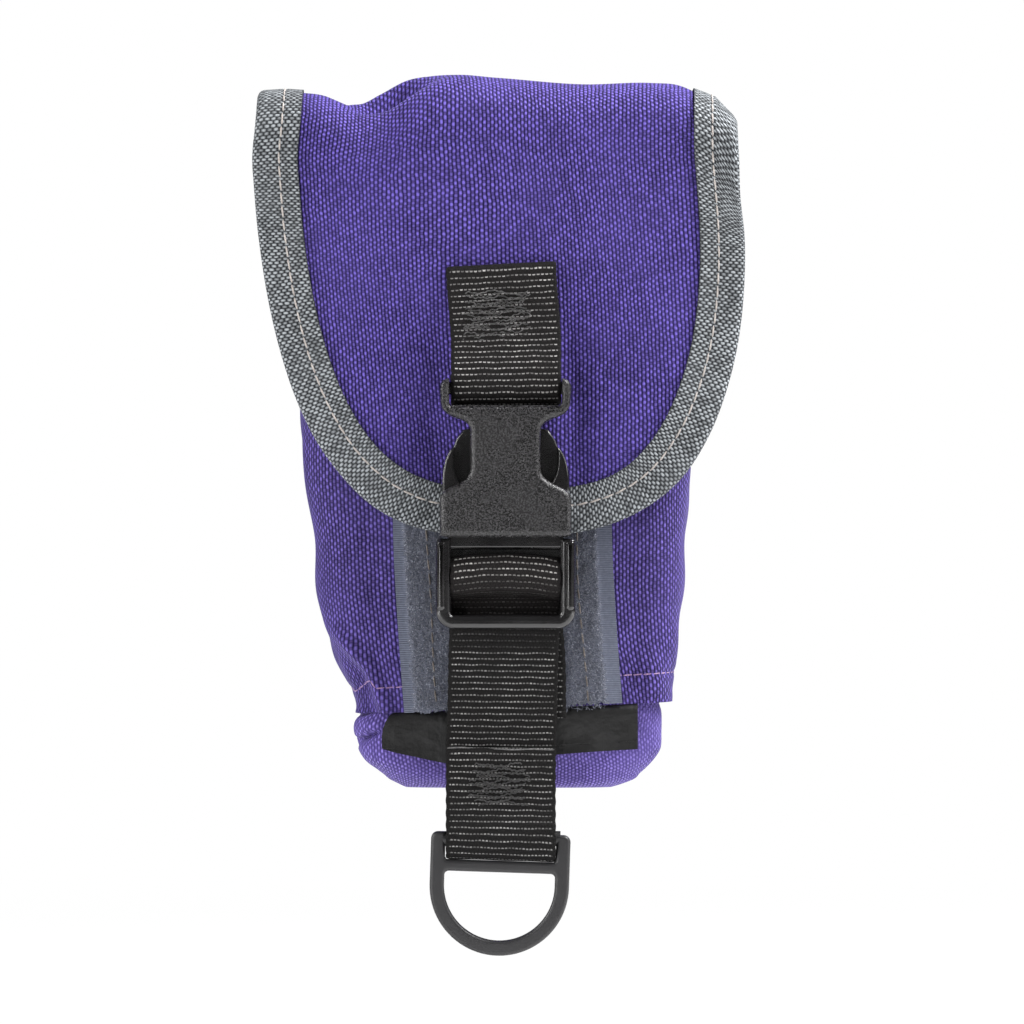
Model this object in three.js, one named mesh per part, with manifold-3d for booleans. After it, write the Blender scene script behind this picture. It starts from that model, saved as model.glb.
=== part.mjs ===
// Phone belt pouch: a woven gusseted pouch with a bound flap, a side-release buckle
// on an adjustable webbing strap, a D-ring and a belt loop.
// Millimetres. X runs across the pouch, Y from the front to the wearer's back side, Z up.
// The pieces are laid out with z = 0 at the base of the pouch and y = 0 on the outer
// face of the back panel, and then moved so that the origin is the seat of the belt.

import * as THREE from "three";
import { mergeVertices } from "three/addons/utils/BufferGeometryUtils.js";
import Module from "manifold-3d";

const wasm = await Module();
wasm.setup();

// Stock
const CLOTH = 1.0; // shell fabric
const LINING = 0.6; // flap lining
const TAPE = 0.6; // binding tape
const TAPE_SHOWN = 10; // width of the binding that shows on each side
const MOUTH_TAPE_SHOWN = 7;
const WEB = 1.3; // webbing thickness
const WEB_WIDTH = 25;
const LOOP_PILE = 1.4; // loop side of the touch fastener
const HOOK_PILE = 1.2; // hook side of the touch fastener
const TACK = 0.4; // height of a sewn bar tack
const PAST = 5; // cutting blocks reach this far past the piece they cut
const SEAM = 0.3; // gap between layers that lie on each other
const WEB_PLAY = 0.3; // gap between webbing and the ends of the slot that it runs through

// Bag
const BAG_DEPTH = 27;
const BAG_HALF_WIDTH = 44;
const HEM_HALF_WIDTH = 36.3; // half width where the front panel ends
const BASE_HALF_WIDTH = 26;
const HEM_HEIGHT = 18.6; // lower edge of the front panel
const TAPER_HEIGHT = 72; // the sides are upright above this
const TAPER_POWER = 1.7;
const MOUTH_HEIGHT = 143;
const BACK_HEIGHT = 148;
const FRONT_CORNER = 6; // radius where the gussets turn into the front
const BASE_FLAT_DEPTH = 12; // depth of the flat part of the base
const BASE_PLAY = 0.6; // gap between the base and the gussets

// Flap
const FLAP_HALF_WIDTH = 54.5;
const FLAP_TOP = 162; // highest point of the outer face
const FLAP_RISE = 2.5; // upright stretch above the hinge line
const FLAP_CROWN_POWER = 2.3;
const FLAP_CURVE_HEIGHT = 119; // the sides are straight above this
const FLAP_TIP_HEIGHT = 57;
const FLAP_CURVE_POWER = 2.35;
const FRONT_TOP = 141; // the crown turns into the front here
const EDGE_BEND = 4.2; // the sides of the front bend back by this much, towards the bag
const EDGE_BEND_START = 26; // half width of the flat middle
const EDGE_BEND_FULL = 98; // the bend has its full depth above this height
const EDGE_BEND_END = 66; // and is gone below this one
const FOLD_BACK = -13; // the crown's front half starts to fold down at this depth
const FOLD_FRONT = -22; // and lies at its own height from this one
const HOOK_PATCH_TOP = 104;
const HOOK_PATCH_MARGIN = 14; // from the flap's edge to the hook patch
const LINING_START = 5; // the lining begins this far above the hinge line

// Touch fastener on the front panel, and the label
const PATCH_WIDTH = 50;
const LOOP_PATCH_TOP = 106;
const LABEL_WIDTH = 59;
const LABEL_HEIGHT = 9.6;
const LABEL_THICKNESS = 0.8;
const LABEL_SHIFT = 1.7;

// Buckle
const SOCKET_BOTTOM = 57;
const SOCKET_LENGTH = 36;
const SOCKET_HALF_WIDTH = 14.9;
const SOCKET_THICKNESS = 9.4;
const SOCKET_WALL = 1.4; // side walls of the sleeve
const SOCKET_PLATE = 2; // front and back plates
const SOCKET_WAIST_HALF_WIDTH = 8;
const SLEEVE_LENGTH = 10.6; // full-width stretch above the mouth
const WAIST_LENGTH = 8.5; // straight part of the waist
const SOCKET_HEAD = 11; // shoulders and cheeks above the waist
const WAIST_BLEND = 3.6; // from the full-width stretch to the waist
const SHOULDER_BLEND = 2.2; // from the waist to the shoulders
const SOCKET_MOUTH_CORNER = 1.5;
const SOCKET_TOP_CORNER = 2.5;
const SOCKET_BEVEL = 0.7;
const SOCKET_STOP = 5; // solid stretch between the cavity and the web slot
const BAR_RADIUS = 1.5;
const BAR_RECESS = 0.6; // web bar below the top of the socket
const BAR_END = 1; // a bar runs this far into the rails that hold it
const WEB_SLOT = 2.8; // height of the slot under the web bar
const PLUG_THICKNESS = 7;
const PLUG_HALF_WIDTH = 15.85;
const PLUG_LENGTH = 20.5; // below the socket
const PLUG_CORNER = 3;
const PLUG_MOUTH_CORNER = 0.8;
const PLUG_BEVEL = 0.6;
const END_BAR_HEIGHT = 3.2;
const END_BAR_BACK = 2.2; // rear face of the end bar, behind the buckle's middle
const CENTRE_BAR_HALF_HEIGHT = 2.9;
const CENTRE_BAR_HALF_DEPTH = 1.3;
const CENTRE_BAR_LIFT = 12.6; // centre bar above the plug's lower end
const CENTRE_BAR_FORWARD = 0.8; // centre bar in front of the buckle's middle
const HEAD_BAR_HEIGHT = 1.8; // bar that carries the arms and the guide
const HEAD_STEP = 0.7; // the bar's top, inside the sleeve
const ARM_ROOT_RADIUS = 1.3;
const ARM_ROOT_X = 10.8;
const ARM_LENGTH = 20;
const ARM_STEM = 7; // slender stretch above the root
const ARM_SHOULDER = 9.2; // height at which the catch head has its full width
const ARM_THICKNESS = 4.2;
const ARM_BEVEL = 0.4;
const GUIDE_HALF_WIDTH = 2.3;
const GUIDE_LENGTH = 16;
const GUIDE_TIP_RADIUS = 1.6;
const GUIDE_RECESS = 0.4; // guide's face below the head bar's, front and back
const BUCKLE_PLAY = 0.3; // running gap between the plug and the sleeve

// Strap ends
const ANCHOR_END = 15.7; // free lower end of the anchor run
const STRAP_END = 9; // top of the doubled strap end
const FLAP_STRAP_TOP = 119;
const RING_AXIS_HEIGHT = -11.75;
const TACK_WIDTH = 15;
const TACK_HEIGHT = 12;
const END_TACK_HEIGHT = -3.5;
const FLAP_TACK_RISE = 10; // flap tack above the web bar

// D-ring
const RING_HALF_WIDTH = 15.9;
const RING_SIDE = 3.4;
const RING_THICKNESS = 3.5;
const RING_SLOT = 3.4;
const RING_BAR = 2.4; // second bar, below the slot
const RING_EYE_CENTRE = -22;
const RING_CORNER = 2;
const RING_BEVEL = 0.6;

// Belt loop
const BELT_GAP = 5.8; // thickness that passes between the pouch and the loop
const BELT_HEIGHT = 55;
const BELT_SEAT = 127; // height of the belt's upper edge
const LOOP_WIDTH = 50;
const LOOP_END = 7; // sewn end of the loop, above and below the belt

// Depths of the layers, from the front panel outwards
const loopPatchFace = -BAG_DEPTH - SEAM - LOOP_PILE;
const hookPatchFace = loopPatchFace - SEAM - HOOK_PILE;
const liningFace = hookPatchFace - SEAM - LINING;
const flapMiddle = liningFace - SEAM - CLOTH / 2;
const flapFace = flapMiddle - CLOTH / 2;
const flapStrapBack = flapFace - SEAM - WEB / 2;
const flapStrapFront = flapStrapBack - SEAM - WEB;
const buckleMiddle = flapFace - SEAM - TAPE - SEAM - SOCKET_THICKNESS / 2;
const anchorMiddle = loopPatchFace - SEAM - WEB / 2;
const tailMiddle = anchorMiddle - SEAM - WEB;
const tailFront = tailMiddle - SEAM - WEB;
const hingeY = SEAM + CLOTH / 2;
const hingeZ = BACK_HEIGHT - SEAM;

const colours = {
  cloth: [0x4b3f92, 0.85],
  lining: [0x3c3378, 0.8],
  tape: [0x6f7378, 0.8],
  webbing: [0x2c2a2b, 0.75],
  plastic: [0x38373a, 0.5],
  ring: [0x424143, 0.4],
  pile: [0x5f6474, 0.95],
  label: [0x262526, 0.45],
  thread: [0x3a3839, 0.7],
};

function material(name) {
  const [color, roughness] = colours[name];
  return new THREE.MeshStandardMaterial({ color, roughness, metalness: 0 });
}

function mesh(name, geometry, finish) {
  const made = new THREE.Mesh(geometry, material(finish));
  made.name = name;
  return made;
}

// Geometry helpers

function signedVolume(points, triangles) {
  const cross = new THREE.Vector3();
  return triangles.reduce((sum, [a, b, c]) => {
    cross.crossVectors(points[b], points[c]);
    return sum + points[a].dot(cross) / 6;
  }, 0);
}

function closedGeometry(points, triangles) {
  const outward = signedVolume(points, triangles) > 0;
  const index = triangles.flatMap(([a, b, c]) => (outward ? [a, b, c] : [a, c, b]));
  const geometry = new THREE.BufferGeometry().setFromPoints(points);
  geometry.setIndex(index);
  geometry.computeVertexNormals();
  return geometry;
}

// A closed solid between two grids of points with the same rows and columns.
function slab(outer, inner) {
  const rows = outer.length;
  const cols = outer[0].length;
  const points = [...outer.flat(), ...inner.flat()];
  const front = (r, c) => r * cols + c;
  const back = (r, c) => rows * cols + front(r, c);
  const triangles = [];
  const quad = (a, b, c, d) => triangles.push([a, b, c], [a, c, d]);
  for (let r = 0; r + 1 < rows; r++) {
    for (let c = 0; c + 1 < cols; c++) {
      quad(front(r, c), front(r, c + 1), front(r + 1, c + 1), front(r + 1, c));
      quad(back(r, c), back(r + 1, c), back(r + 1, c + 1), back(r, c + 1));
    }
    quad(front(r, 0), front(r + 1, 0), back(r + 1, 0), back(r, 0));
    quad(front(r + 1, cols - 1), front(r, cols - 1), back(r, cols - 1), back(r + 1, cols - 1));
  }
  for (let c = 0; c + 1 < cols; c++) {
    quad(front(0, c + 1), front(0, c), back(0, c), back(0, c + 1));
    quad(front(rows - 1, c), front(rows - 1, c + 1), back(rows - 1, c + 1), back(rows - 1, c));
  }
  return closedGeometry(points, triangles);
}

// A closed solid through a row of sections with the same number of points.
function sweep(sections, flatSection) {
  const count = sections[0].length;
  const points = sections.flat();
  const triangles = [];
  for (let s = 0; s + 1 < sections.length; s++) {
    for (let i = 0; i < count; i++) {
      const a = s * count + i;
      const b = s * count + ((i + 1) % count);
      triangles.push([a, b, b + count], [a, b + count, a + count]);
    }
  }
  const cap = THREE.ShapeUtils.triangulateShape(flatSection, []);
  const last = (sections.length - 1) * count;
  const clockwise = THREE.ShapeUtils.isClockWise(flatSection);
  const turned = clockwise ? cap.map(([a, b, c]) => [a, c, b]) : cap;
  turned.forEach(([a, b, c]) => triangles.push([a, c, b], [last + a, last + b, last + c]));
  return closedGeometry(points, triangles);
}

// Webbing along a path of (y, z) points, flat across X.
function ribbon(path, width, thickness) {
  const normals = path.map((point, i) => {
    const before = path[Math.max(i - 1, 0)];
    const after = path[Math.min(i + 1, path.length - 1)];
    const into = point.clone().sub(before).normalize();
    const out = after.clone().sub(point).normalize();
    const along = into.clone().add(out).normalize();
    const turn = i === 0 || i === path.length - 1 ? 1 : Math.sqrt((1 + into.dot(out)) / 2);
    return new THREE.Vector2(-along.y, along.x).divideScalar(turn);
  });
  const side = (offset) =>
    path.map((point, i) => {
      const at = point.clone().addScaledVector(normals[i], offset);
      return [-width / 2, width / 2].map((x) => new THREE.Vector3(x, at.x, at.y));
    });
  return slab(side(thickness / 2), side(-thickness / 2));
}

function arc(centreY, centreZ, radiusY, radiusZ, from, to, steps) {
  return Array.from({ length: steps + 1 }, (_, i) => {
    const angle = THREE.MathUtils.degToRad(from + ((to - from) * i) / steps);
    return at(centreY + radiusY * Math.cos(angle), centreZ + radiusZ * Math.sin(angle));
  });
}

function at(y, z) {
  return new THREE.Vector2(y, z);
}

function range(from, to, steps) {
  return Array.from({ length: steps + 1 }, (_, i) => from + ((to - from) * i) / steps);
}

// Booleans, for the moulded parts

function solidOf(geometry) {
  const bare = geometry.clone();
  bare.deleteAttribute("normal");
  bare.deleteAttribute("uv");
  const merged = mergeVertices(bare, 1e-4);
  const triVerts = new Uint32Array(merged.index.array);
  const vertProperties = new Float32Array(merged.attributes.position.array);
  return new wasm.Manifold(new wasm.Mesh({ numProp: 3, vertProperties, triVerts }));
}

function geometryOf(solid) {
  const made = solid.getMesh();
  const geometry = new THREE.BufferGeometry();
  geometry.setAttribute("position", new THREE.BufferAttribute(made.vertProperties, 3));
  geometry.setIndex(new THREE.BufferAttribute(made.triVerts, 1));
  geometry.computeVertexNormals();
  return geometry;
}

// A shape drawn in (x, z), extruded along Y about the depth `middle`, with softened edges.
function plate(shape, middle, thickness, bevel = 0, curveSegments = 6) {
  const geometry = new THREE.ExtrudeGeometry(shape, {
    depth: thickness - 2 * bevel,
    bevelEnabled: bevel > 0,
    bevelThickness: bevel,
    bevelSize: bevel,
    bevelOffset: -bevel,
    bevelSegments: 2,
    curveSegments,
  });
  geometry.translate(0, 0, bevel - thickness / 2);
  geometry.rotateX(Math.PI / 2);
  geometry.translate(0, middle, 0);
  return solidOf(geometry);
}

function block(halfWidth, yLow, yHigh, zLow, zHigh) {
  const geometry = new THREE.BoxGeometry(2 * halfWidth, yHigh - yLow, zHigh - zLow);
  geometry.translate(0, (yLow + yHigh) / 2, (zLow + zHigh) / 2);
  return solidOf(geometry);
}

// A bar along X with an elliptic section.
function bar(halfLength, y, z, halfDepth, halfHeight, sides = 16) {
  const geometry = new THREE.CylinderGeometry(1, 1, 2 * halfLength, sides);
  geometry.rotateZ(Math.PI / 2);
  geometry.scale(1, halfDepth, halfHeight);
  geometry.translate(0, y, z);
  return solidOf(geometry);
}

function roundedRect(halfWidth, low, high, lowRadius, highRadius) {
  const shape = new THREE.Shape();
  shape.moveTo(-halfWidth + lowRadius, low);
  shape.lineTo(halfWidth - lowRadius, low);
  shape.quadraticCurveTo(halfWidth, low, halfWidth, low + lowRadius);
  shape.lineTo(halfWidth, high - highRadius);
  shape.quadraticCurveTo(halfWidth, high, halfWidth - highRadius, high);
  shape.lineTo(-halfWidth + highRadius, high);
  shape.quadraticCurveTo(-halfWidth, high, -halfWidth, high - highRadius);
  shape.lineTo(-halfWidth, low + lowRadius);
  shape.quadraticCurveTo(-halfWidth, low, -halfWidth + lowRadius, low);
  return shape;
}

// Bag

function bagHalfWidth(z) {
  if (z >= TAPER_HEIGHT) return BAG_HALF_WIDTH;
  if (z >= HEM_HEIGHT) {
    const share = (TAPER_HEIGHT - z) / (TAPER_HEIGHT - HEM_HEIGHT);
    return BAG_HALF_WIDTH - (BAG_HALF_WIDTH - HEM_HALF_WIDTH) * share ** TAPER_POWER;
  }
  const drop = 1 - Math.max(z, 0) / HEM_HEIGHT;
  return BASE_HALF_WIDTH + (HEM_HALF_WIDTH - BASE_HALF_WIDTH) * Math.sqrt(1 - drop * drop);
}

function bagFront(z) {
  if (z >= HEM_HEIGHT) return -BAG_DEPTH;
  const drop = 1 - Math.max(z, 0) / HEM_HEIGHT;
  return -BASE_FLAT_DEPTH - (BAG_DEPTH - BASE_FLAT_DEPTH) * Math.sqrt(1 - drop * drop);
}

// Outline of one side of the bag at height z, from the front to the back, pushed in by `inset`.
function sideOutline(z, inset) {
  const halfWidth = bagHalfWidth(z);
  const front = bagFront(z);
  const centreX = halfWidth - FRONT_CORNER;
  const centreY = front + FRONT_CORNER;
  const radius = FRONT_CORNER - inset;
  const corner = range(-90, 0, 5).map((degrees) => {
    const angle = THREE.MathUtils.degToRad(degrees);
    return [centreX + radius * Math.cos(angle), centreY + radius * Math.sin(angle)];
  });
  const side = range(centreY, 0, 4).slice(1);
  return [...corner, ...side.map((y) => [halfWidth - inset, y])];
}

// The base curve, from the hem to the flat of the base, as angles of a quarter turn.
const baseCurve = range(0, 90, 8).map((degrees) => {
  const angle = THREE.MathUtils.degToRad(degrees);
  return { z: HEM_HEIGHT * (1 - Math.sin(angle)), angle };
});

const bagRows = [
  ...baseCurve.map(({ z }) => z).reverse(),
  ...range(HEM_HEIGHT, TAPER_HEIGHT, 7).slice(1),
  MOUTH_HEIGHT,
];

function gusset(name, hand) {
  const grid = (inset) =>
    bagRows.map((z) => sideOutline(z, inset).map(([x, y]) => new THREE.Vector3(hand * x, y, z)));
  return mesh(name, slab(grid(0), grid(CLOTH)), "cloth");
}

function panelGrid(rows, halfWidthAt, depth, columns = 4) {
  return rows.map((z) =>
    range(-1, 1, columns).map((share) => new THREE.Vector3(share * halfWidthAt(z), depth, z)),
  );
}

function backPanel() {
  const rows = [...bagRows.slice(0, -1), BACK_HEIGHT];
  const inside = (z) => bagHalfWidth(z) - CLOTH - SEAM;
  const geometry = slab(panelGrid(rows, inside, 0), panelGrid(rows, inside, -CLOTH));
  return mesh("back_panel", geometry, "cloth");
}

function frontPanel() {
  const rows = [HEM_HEIGHT + SEAM, ...bagRows.filter((z) => z > HEM_HEIGHT)];
  const inside = (z) => bagHalfWidth(z) - FRONT_CORNER - SEAM;
  const geometry = slab(
    panelGrid(rows, inside, -BAG_DEPTH),
    panelGrid(rows, inside, -BAG_DEPTH + CLOTH),
  );
  return mesh("front_panel", geometry, "cloth");
}

// The base drops from the front hem in a round curve and runs flat to the back panel.
function basePanel() {
  const curve = baseCurve.map(({ z, angle }) => ({ y: bagFront(z), z, angle }));
  const cornerCentre = -BASE_FLAT_DEPTH + FRONT_CORNER;
  const innerCorner = FRONT_CORNER - CLOTH - SEAM;
  const flat = range(-BASE_FLAT_DEPTH, -CLOTH - SEAM, 6).slice(1);
  const rows = [...curve, ...flat.map((y) => ({ y, z: 0, angle: Math.PI / 2 }))];
  const grid = (inset) =>
    rows.map(({ y, z, angle }) => {
      const past = z > 0 ? innerCorner : Math.min(Math.max(cornerCentre - y, 0), innerCorner);
      const turned = Math.sqrt(innerCorner ** 2 - past ** 2);
      const halfWidth = bagHalfWidth(z) - FRONT_CORNER + turned - BASE_PLAY;
      const depth = y + inset * Math.cos(angle);
      const height = z + inset * Math.sin(angle);
      return range(-1, 1, 4).map((share) => new THREE.Vector3(share * halfWidth, depth, height));
    });
  return mesh("base_panel", slab(grid(0), grid(CLOTH)), "cloth");
}

// Tape folded over the rim of the mouth.
function mouthBinding() {
  const right = sideOutline(MOUTH_HEIGHT, CLOTH / 2).slice(0, -1);
  const rightEnd = [BAG_HALF_WIDTH - CLOTH / 2, -CLOTH - 2 * SEAM - TAPE];
  const rightSide = [rightEnd, ...right.reverse()];
  const leftSide = rightSide.map(([x, y]) => [-x, y]).reverse();
  const rim = [...rightSide, ...leftSide];
  const inner = CLOTH / 2 + SEAM;
  const outer = inner + TAPE;
  const low = MOUTH_HEIGHT - MOUTH_TAPE_SHOWN;
  const roof = MOUTH_HEIGHT + SEAM;
  const section = [
    [outer, low],
    [outer, roof + TAPE],
    [-outer, roof + TAPE],
    [-outer, low],
    [-inner, low],
    [-inner, roof],
    [inner, roof],
    [inner, low],
  ];
  const sections = rim.map(([x, y], i) => {
    const [x0, y0] = rim[Math.max(i - 1, 0)];
    const [x1, y1] = rim[Math.min(i + 1, rim.length - 1)];
    const along = new THREE.Vector2(x1 - x0, y1 - y0).normalize();
    return section.map(
      ([offset, z]) => new THREE.Vector3(x + offset * along.y, y - offset * along.x, z),
    );
  });
  const flat = section.map(([offset, z]) => new THREE.Vector2(offset, z));
  return mesh("mouth_binding", sweep(sections, flat), "tape");
}

function loopPatch() {
  const solid = block(
    PATCH_WIDTH / 2,
    loopPatchFace,
    -BAG_DEPTH - SEAM,
    HEM_HEIGHT + SEAM,
    LOOP_PATCH_TOP,
  );
  return mesh("loop_patch", geometryOf(solid), "pile");
}

// A folded label that hangs from the hem, over the base.
function label() {
  const top = HEM_HEIGHT - SEAM;
  const solid = block(
    LABEL_WIDTH / 2,
    -BAG_DEPTH - SEAM - LABEL_THICKNESS,
    -BAG_DEPTH - SEAM,
    top - LABEL_HEIGHT,
    top,
  ).translate([LABEL_SHIFT, 0, 0]);
  return mesh("label", geometryOf(solid), "label");
}

function beltLoop() {
  const back = SEAM;
  const inside = BELT_GAP;
  const outside = BELT_GAP + WEB;
  const low = BELT_SEAT - BELT_HEIGHT;
  const outline = [
    [back, low],
    [back, low - LOOP_END],
    [outside - WEB, low - LOOP_END],
    [outside, low - LOOP_END + WEB],
    [outside, BELT_SEAT + LOOP_END - WEB],
    [outside - WEB, BELT_SEAT + LOOP_END],
    [back, BELT_SEAT + LOOP_END],
    [back, BELT_SEAT],
    [inside, BELT_SEAT],
    [inside, low],
  ];
  const section = (x) => outline.map(([y, z]) => new THREE.Vector3(x, y, z));
  const flat = outline.map(([y, z]) => at(y, z));
  const geometry = sweep([section(-LOOP_WIDTH / 2), section(LOOP_WIDTH / 2)], flat);
  return mesh("belt_loop", geometry, "webbing");
}

// Flap

// Form of the crown: share of the flap's half width, and how far the crown lies below its top
// there, behind the fold and in front of it.
const tapeShare = 1 - TAPE_SHOWN / FLAP_HALF_WIDTH;
const crownForm = [
  [-1, 8.4, 4.4],
  [-tapeShare, 6, 2.2],
  [-0.6, 6.2, 8.8],
  [-0.46, 3, 8],
  [-0.22, 0, 0.4],
  [0, 0, 0],
  [0.22, 0.8, 0.8],
  [0.46, 1.1, 1.1],
  [0.6, 0.6, 0.6],
  [tapeShare, 1.8, 1.8],
  [1, 8.6, 8.6],
];
const flapShares = crownForm.map(([share]) => share);
const crownBase = hingeZ + FLAP_RISE;
const crownHeight = FLAP_TOP - CLOTH / 2 - crownBase;
const crownHalfDepth = (hingeY - flapMiddle) / 2;
const crownMiddle = (hingeY + flapMiddle) / 2;
const curveDrop = FLAP_CURVE_HEIGHT - FLAP_TIP_HEIGHT;

// The flap's profile from the hinge line over the crown and down the front, as (y, z) points
// with the outward direction at each.
function flapProfile(start = 0) {
  const power = 2 / FLAP_CROWN_POWER;
  const rise = [{ y: hingeY, z: hingeZ + start, out: at(1, 0) }];
  const crown = range(0, 180, 16).map((degrees) => {
    const angle = THREE.MathUtils.degToRad(degrees);
    const c = Math.cos(angle);
    const s = Math.max(Math.sin(angle), 0);
    const out = at(
      (Math.sign(c) * Math.abs(c) ** (2 - power)) / crownHalfDepth,
      s ** (2 - power) / crownHeight,
    ).normalize();
    return {
      y: crownMiddle + crownHalfDepth * Math.sign(c) * Math.abs(c) ** power,
      z: crownBase + crownHeight * s ** power,
      out,
    };
  });
  const front = range(FRONT_TOP, FLAP_CURVE_HEIGHT, 4).map((z) => ({
    y: flapMiddle,
    z,
    out: at(-1, 0),
  }));
  const beforeCrown = start < FLAP_RISE ? rise : [];
  return [...beforeCrown, ...crown.filter(({ z }) => z > hingeZ + start), ...front];
}

function flapHalfWidth(z, inset) {
  const drop = Math.max(FLAP_CURVE_HEIGHT - z, 0) / (curveDrop - inset);
  const share = Math.max(1 - drop ** FLAP_CURVE_POWER, 0) ** (1 / FLAP_CURVE_POWER);
  return (FLAP_HALF_WIDTH - inset) * share;
}

function clampShare(value, from, to) {
  return Math.min(Math.max((value - from) / (to - from), 0), 1);
}

function edgeBend(x, z) {
  const across = clampShare(Math.abs(x), EDGE_BEND_START, FLAP_HALF_WIDTH);
  return EDGE_BEND * across ** 1.5 * clampShare(z, EDGE_BEND_END, EDGE_BEND_FULL);
}

function crownDrop(x, y, z) {
  const place = Math.min(Math.max(x / FLAP_HALF_WIDTH, -1), 1);
  const next = Math.max(flapShares.findIndex((share) => share >= place), 1);
  const along = clampShare(place, flapShares[next - 1], flapShares[next]);
  const [behind, ahead] = [1, 2].map((column) =>
    THREE.MathUtils.lerp(crownForm[next - 1][column], crownForm[next][column], along),
  );
  const share =
    y > crownMiddle
      ? clampShare(z, crownBase, crownBase + crownHeight)
      : clampShare(z, FLAP_CURVE_HEIGHT, crownBase);
  return share * THREE.MathUtils.lerp(behind, ahead, clampShare(y, FOLD_BACK, FOLD_FRONT));
}

// A point of the flap at x, `height` outward from the middle of the shell fabric.
function flapPoint({ y, z, out }, x, height) {
  const bend = y > crownMiddle ? 0 : edgeBend(x, z) * clampShare(y, crownMiddle, flapMiddle);
  return new THREE.Vector3(x, y + out.x * height + bend, z + out.y * height - crownDrop(x, y, z));
}

function flapLayer(low, high, inset, start) {
  const curve = range(4.5, 76.5, 16).map((degrees) => {
    const angle = THREE.MathUtils.degToRad(degrees);
    const z = FLAP_CURVE_HEIGHT - (curveDrop - inset) * Math.sin(angle) ** (2 / FLAP_CURVE_POWER);
    return { y: flapMiddle, z, out: at(-1, 0) };
  });
  const rows = [...flapProfile(start), ...curve];
  const grid = (height) =>
    rows.map((row) => {
      const halfWidth = flapHalfWidth(row.z, inset);
      return flapShares.map((share) => flapPoint(row, share * halfWidth, height));
    });
  return slab(grid(high), grid(low));
}

const bindingInner = CLOTH / 2 + SEAM;
const bindingOuter = bindingInner + TAPE;
const bindingBack = CLOTH / 2 + SEAM + LINING + SEAM;

// Tape folded round the edge of the flap, from one end of the hinge line to the other.
function flapBinding() {
  const section = [
    [TAPE_SHOWN, bindingInner],
    [TAPE_SHOWN, bindingOuter],
    [-SEAM, bindingOuter],
    [-SEAM - TAPE, bindingInner],
    [-SEAM - TAPE, -bindingBack],
    [-SEAM, -bindingBack - TAPE],
    [TAPE_SHOWN, -bindingBack - TAPE],
    [TAPE_SHOWN, -bindingBack],
    [-SEAM, -bindingBack],
    [-SEAM, bindingInner],
  ];
  const straight = (hand) =>
    flapProfile().map((row) => ({ row, x: hand * FLAP_HALF_WIDTH, inX: -hand, inZ: 0 }));
  const power = 2 / FLAP_CURVE_POWER;
  const curve = range(0, 180, 40)
    .slice(1, -1)
    .map((degrees) => {
      const angle = THREE.MathUtils.degToRad(degrees);
      const c = Math.cos(angle);
      const s = Math.sin(angle);
      const inward = new THREE.Vector2(
        (-Math.sign(c) * Math.abs(c) ** (2 - power)) / FLAP_HALF_WIDTH,
        s ** (2 - power) / curveDrop,
      ).normalize();
      const z = FLAP_CURVE_HEIGHT - curveDrop * s ** power;
      return {
        row: { y: flapMiddle, z, out: at(-1, 0) },
        x: FLAP_HALF_WIDTH * Math.sign(c) * Math.abs(c) ** power,
        inX: inward.x,
        inZ: inward.y,
      };
    });
  const stations = [...straight(1), ...curve, ...straight(-1).reverse()];
  const sections = stations.map(({ row, x, inX, inZ }) =>
    section.map(([inward, height]) =>
      flapPoint({ ...row, z: row.z + inward * inZ }, x + inward * inX, height),
    ),
  );
  const flat = section.map(([inward, height]) => new THREE.Vector2(inward, height));
  return mesh("flap_binding", sweep(sections, flat), "tape");
}

function flapLining() {
  const face = -CLOTH / 2 - SEAM;
  return mesh("flap_lining", flapLayer(face - LINING, face, 0, LINING_START), "lining");
}

function hookPatch() {
  const share = (PATCH_WIDTH / 2 / FLAP_HALF_WIDTH) ** FLAP_CURVE_POWER;
  const edge = FLAP_CURVE_HEIGHT - curveDrop * (1 - share) ** (1 / FLAP_CURVE_POWER);
  const low = edge + HOOK_PATCH_MARGIN;
  const solid = block(PATCH_WIDTH / 2, hookPatchFace, loopPatchFace - SEAM, low, HOOK_PATCH_TOP);
  return mesh("hook_patch", geometryOf(solid), "pile");
}

// Buckle

const barOffset = BAR_RADIUS + SEAM + WEB / 2; // from a bar's centre to the middle of its webbing
const socketTop = SOCKET_BOTTOM + SOCKET_LENGTH;
const webBarZ = socketTop - BAR_RADIUS - BAR_RECESS;
const webBarY = flapStrapBack - barOffset;
const slotLow = webBarZ - BAR_RADIUS - WEB_SLOT;
const slotHalfWidth = WEB_WIDTH / 2 + WEB_PLAY;
const plugLow = SOCKET_BOTTOM - BUCKLE_PLAY - PLUG_LENGTH;
const plugTop = SOCKET_BOTTOM - BUCKLE_PLAY;
const sleeveHalfWidth = SOCKET_HALF_WIDTH - SOCKET_WALL;
const centreBarZ = plugLow + CENTRE_BAR_LIFT;
const centreBarY = buckleMiddle - CENTRE_BAR_FORWARD;
const headHigh = plugTop + HEAD_STEP;
const endBarBack = buckleMiddle + END_BAR_BACK;
const tailAtPlug = endBarBack + SEAM + WEB / 2;

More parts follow.
